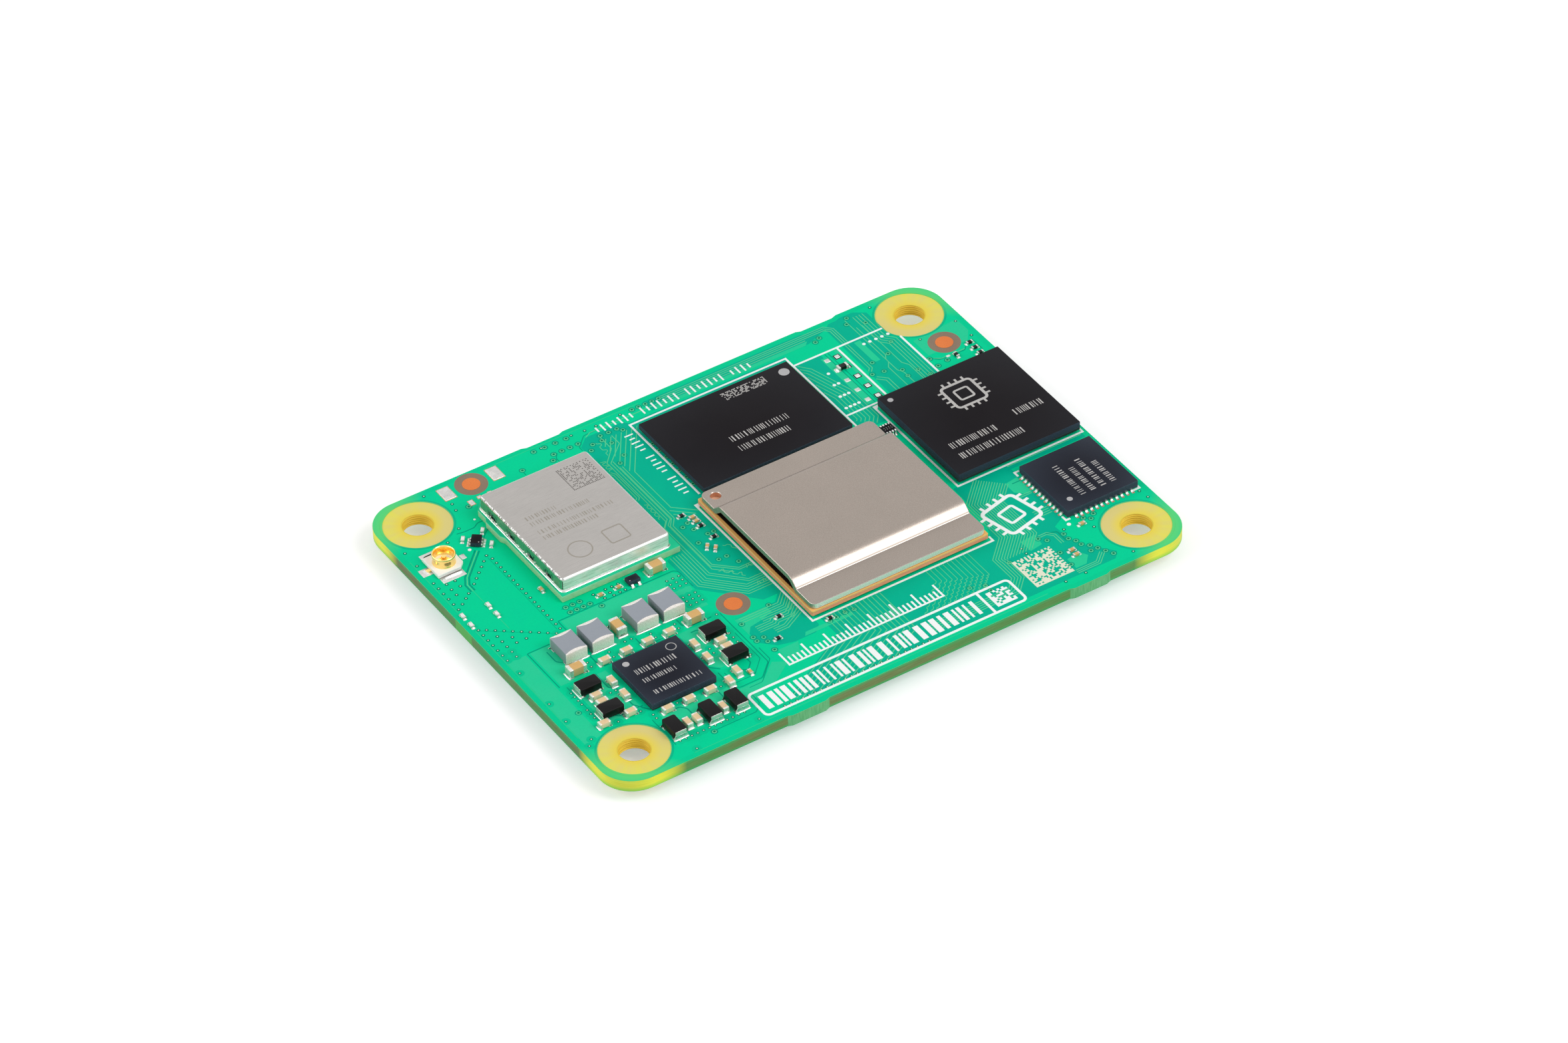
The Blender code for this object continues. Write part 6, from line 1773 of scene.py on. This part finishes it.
# Generic figures where the print would otherwise be bare
def buildFigures():
    bm = bmesh.new()
    low, high = topZ - 0.005, topZ + printStyle["height"]
    part = bmesh.new()
    for kind, points, width in chipIcon(0, 0, 3.6, 0.34):
        ribbon(part, points, width, 0, high - low, closed=kind == "loop", shoulder=0.01)
    addPart(bm, part, 0, (16.4, -9.75, low), math.radians(14))
    place = -12.7
    while place < 7.6:
        wide = dice.choice((0.2, 0.32, 0.5))
        roundBox(bm, (place + wide / 2, -17.65, low), (wide, 1.75, high - low))
        place += wide + dice.choice((0.2, 0.3, 0.44))
    dotCode(bm, 9.05, -18.6, 10.95, -16.7, 9, 9, low, high)
    for i in range(36):
        tall = 1.5 if i % 5 == 0 else 0.8
        roundBox(bm, (-8.5 + i * 0.42, -14.9 + tall / 2, low), (0.17, tall, high - low))
    roundBox(bm, (-1.15, -15.0, low), (14.9, 0.17, high - low))
    # Two strips of bars with gaps, behind and beside the memory chip
    for i in range(28):
        if i % 8 != 7:
            roundBox(bm, (-5.6 + i * 0.55, 18.5, low), (0.15, 0.9 if i % 3 else 0.6, high - low))
    for i in range(17):
        if i % 6 != 5:
            roundBox(bm, (-3.85, 7.6 + i * 0.55, low), (0.8 if i % 3 else 0.5, 0.14, high - low))
    # Dots in place of the legend at the option pads
    for row in range(1, 5):
        for i in range(row):
            addDisc(bm, 14.1 - 0.42 * i, 15.32 - 1.53 * row, 0.15, low, high, 0, 20)
    for i in range(5):
        addDisc(bm, 18.7 + 0.6 * i, 15.4, 0.15, low, high, 0, 20)
    boardPiece("print_figures", bm, [inkMaterial], 30)


# Camera and light
cameraStyle = {
    "lens": 167.74,
    "azimuth": -31.985,
    "elevation": 40.196,
    "roll": -1.675,
    "distance": 591.995,
    "target": (0.710, -0.017),
}


def buildCamera():
    azimuth, elevation, roll = [math.radians(cameraStyle[key]) for key in ("azimuth", "elevation", "roll")]
    level = math.cos(elevation)
    back = Vector((math.sin(azimuth) * level, -math.cos(azimuth) * level, math.sin(elevation)))
    right = (-back).cross(Vector((0, 0, 1))).normalized()
    up = right.cross(-back)
    axisX = right * math.cos(roll) + up * math.sin(roll)
    axisY = up * math.cos(roll) - right * math.sin(roll)
    target = Vector((*cameraStyle["target"], topZ))
    data = bpy.data.cameras.new("photo view")
    data.lens = cameraStyle["lens"]
    data.sensor_width = 36
    data.sensor_fit = "HORIZONTAL"
    camera = newObject("photo view", data)
    turn = Matrix((axisX, axisY, back)).transposed().to_4x4()
    camera.matrix_world = Matrix.Translation((target + back * cameraStyle["distance"]) * mm) @ turn
    bpy.context.scene.camera = camera


lightStyle = {
    "worldDiffuse": 0.5,
    "floorColor": (236, 234, 236),
    "floorGlow": 0.37,
    "softboxes": (
        ("key softbox", (0.30, -0.42, 0.54), (0.36, 0.5), 2.3),
        ("left softbox", (-0.55, 0.05, 0.45), (0.30, 0.30), 0.8),
        ("back softbox", (-0.52, 0.46, 0.42), (0.30, 0.30), 0.8),
    ),
}


def buildStudio():
    world = bpy.data.worlds.new("studio")
    bpy.context.scene.world = world
    world.use_nodes = True
    tree = world.node_tree
    background = tree.nodes["Background"].inputs
    feed(tree, background["Color"], (1, 1, 1, 1))
    feed(tree, background["Strength"],
         spread(tree, seenDirectly(tree), 0, 1, lightStyle["worldDiffuse"], 1.0))
    for name, place, size, power in lightStyle["softboxes"]:
        data = bpy.data.lights.new(name, "AREA")
        data.shape = "RECTANGLE"
        data.size, data.size_y = size
        data.energy = power
        lamp = newObject(name, data)
        lamp.location = place
        lamp.rotation_euler = (-Vector(place)).to_track_quat("-Z", "Y").to_euler()
    bm = bmesh.new()
    bmesh.ops.create_grid(bm, x_segments=2, y_segments=2, size=3.0)
    mesh = bpy.data.meshes.new("floor")
    bm.to_mesh(mesh)
    bm.free()
    floor = newObject("floor", mesh)
    floor.location.z = -0.0001
    material = bpy.data.materials.new("pale floor")
    material.use_nodes = True
    tree = material.node_tree
    shader = tree.nodes["Principled BSDF"].inputs
    feed(tree, shader["Base Color"], linear(*lightStyle["floorColor"]))
    feed(tree, shader["Roughness"], 0.9)
    feed(tree, shader["Specular IOR Level"], 0.1)
    feed(tree, shader["Emission Color"], mixColor(tree, seenDirectly(tree), (0, 0, 0, 1), (1, 1, 1, 1)))
    feed(tree, shader["Emission Strength"], lightStyle["floorGlow"])
    mesh.materials.append(material)
    bpy.context.scene.view_settings.view_transform = "Standard"


buildCamera()
buildStudio()
print("camera and studio ready")
buildBoard()
buildCopper()
buildVias()
buildPrint()
print("board ready")
buildTinyParts()
buildPads()
buildPassives()
print("passives ready")
buildChips()
buildEthernetChip()
buildProcessor()
buildRadio()
print("chips ready")
buildSocket()
buildSmallChips()
buildPlugs()
buildUnderside()
buildFigures()
print("small parts and underside ready")

bpy.context.view_layer.update()
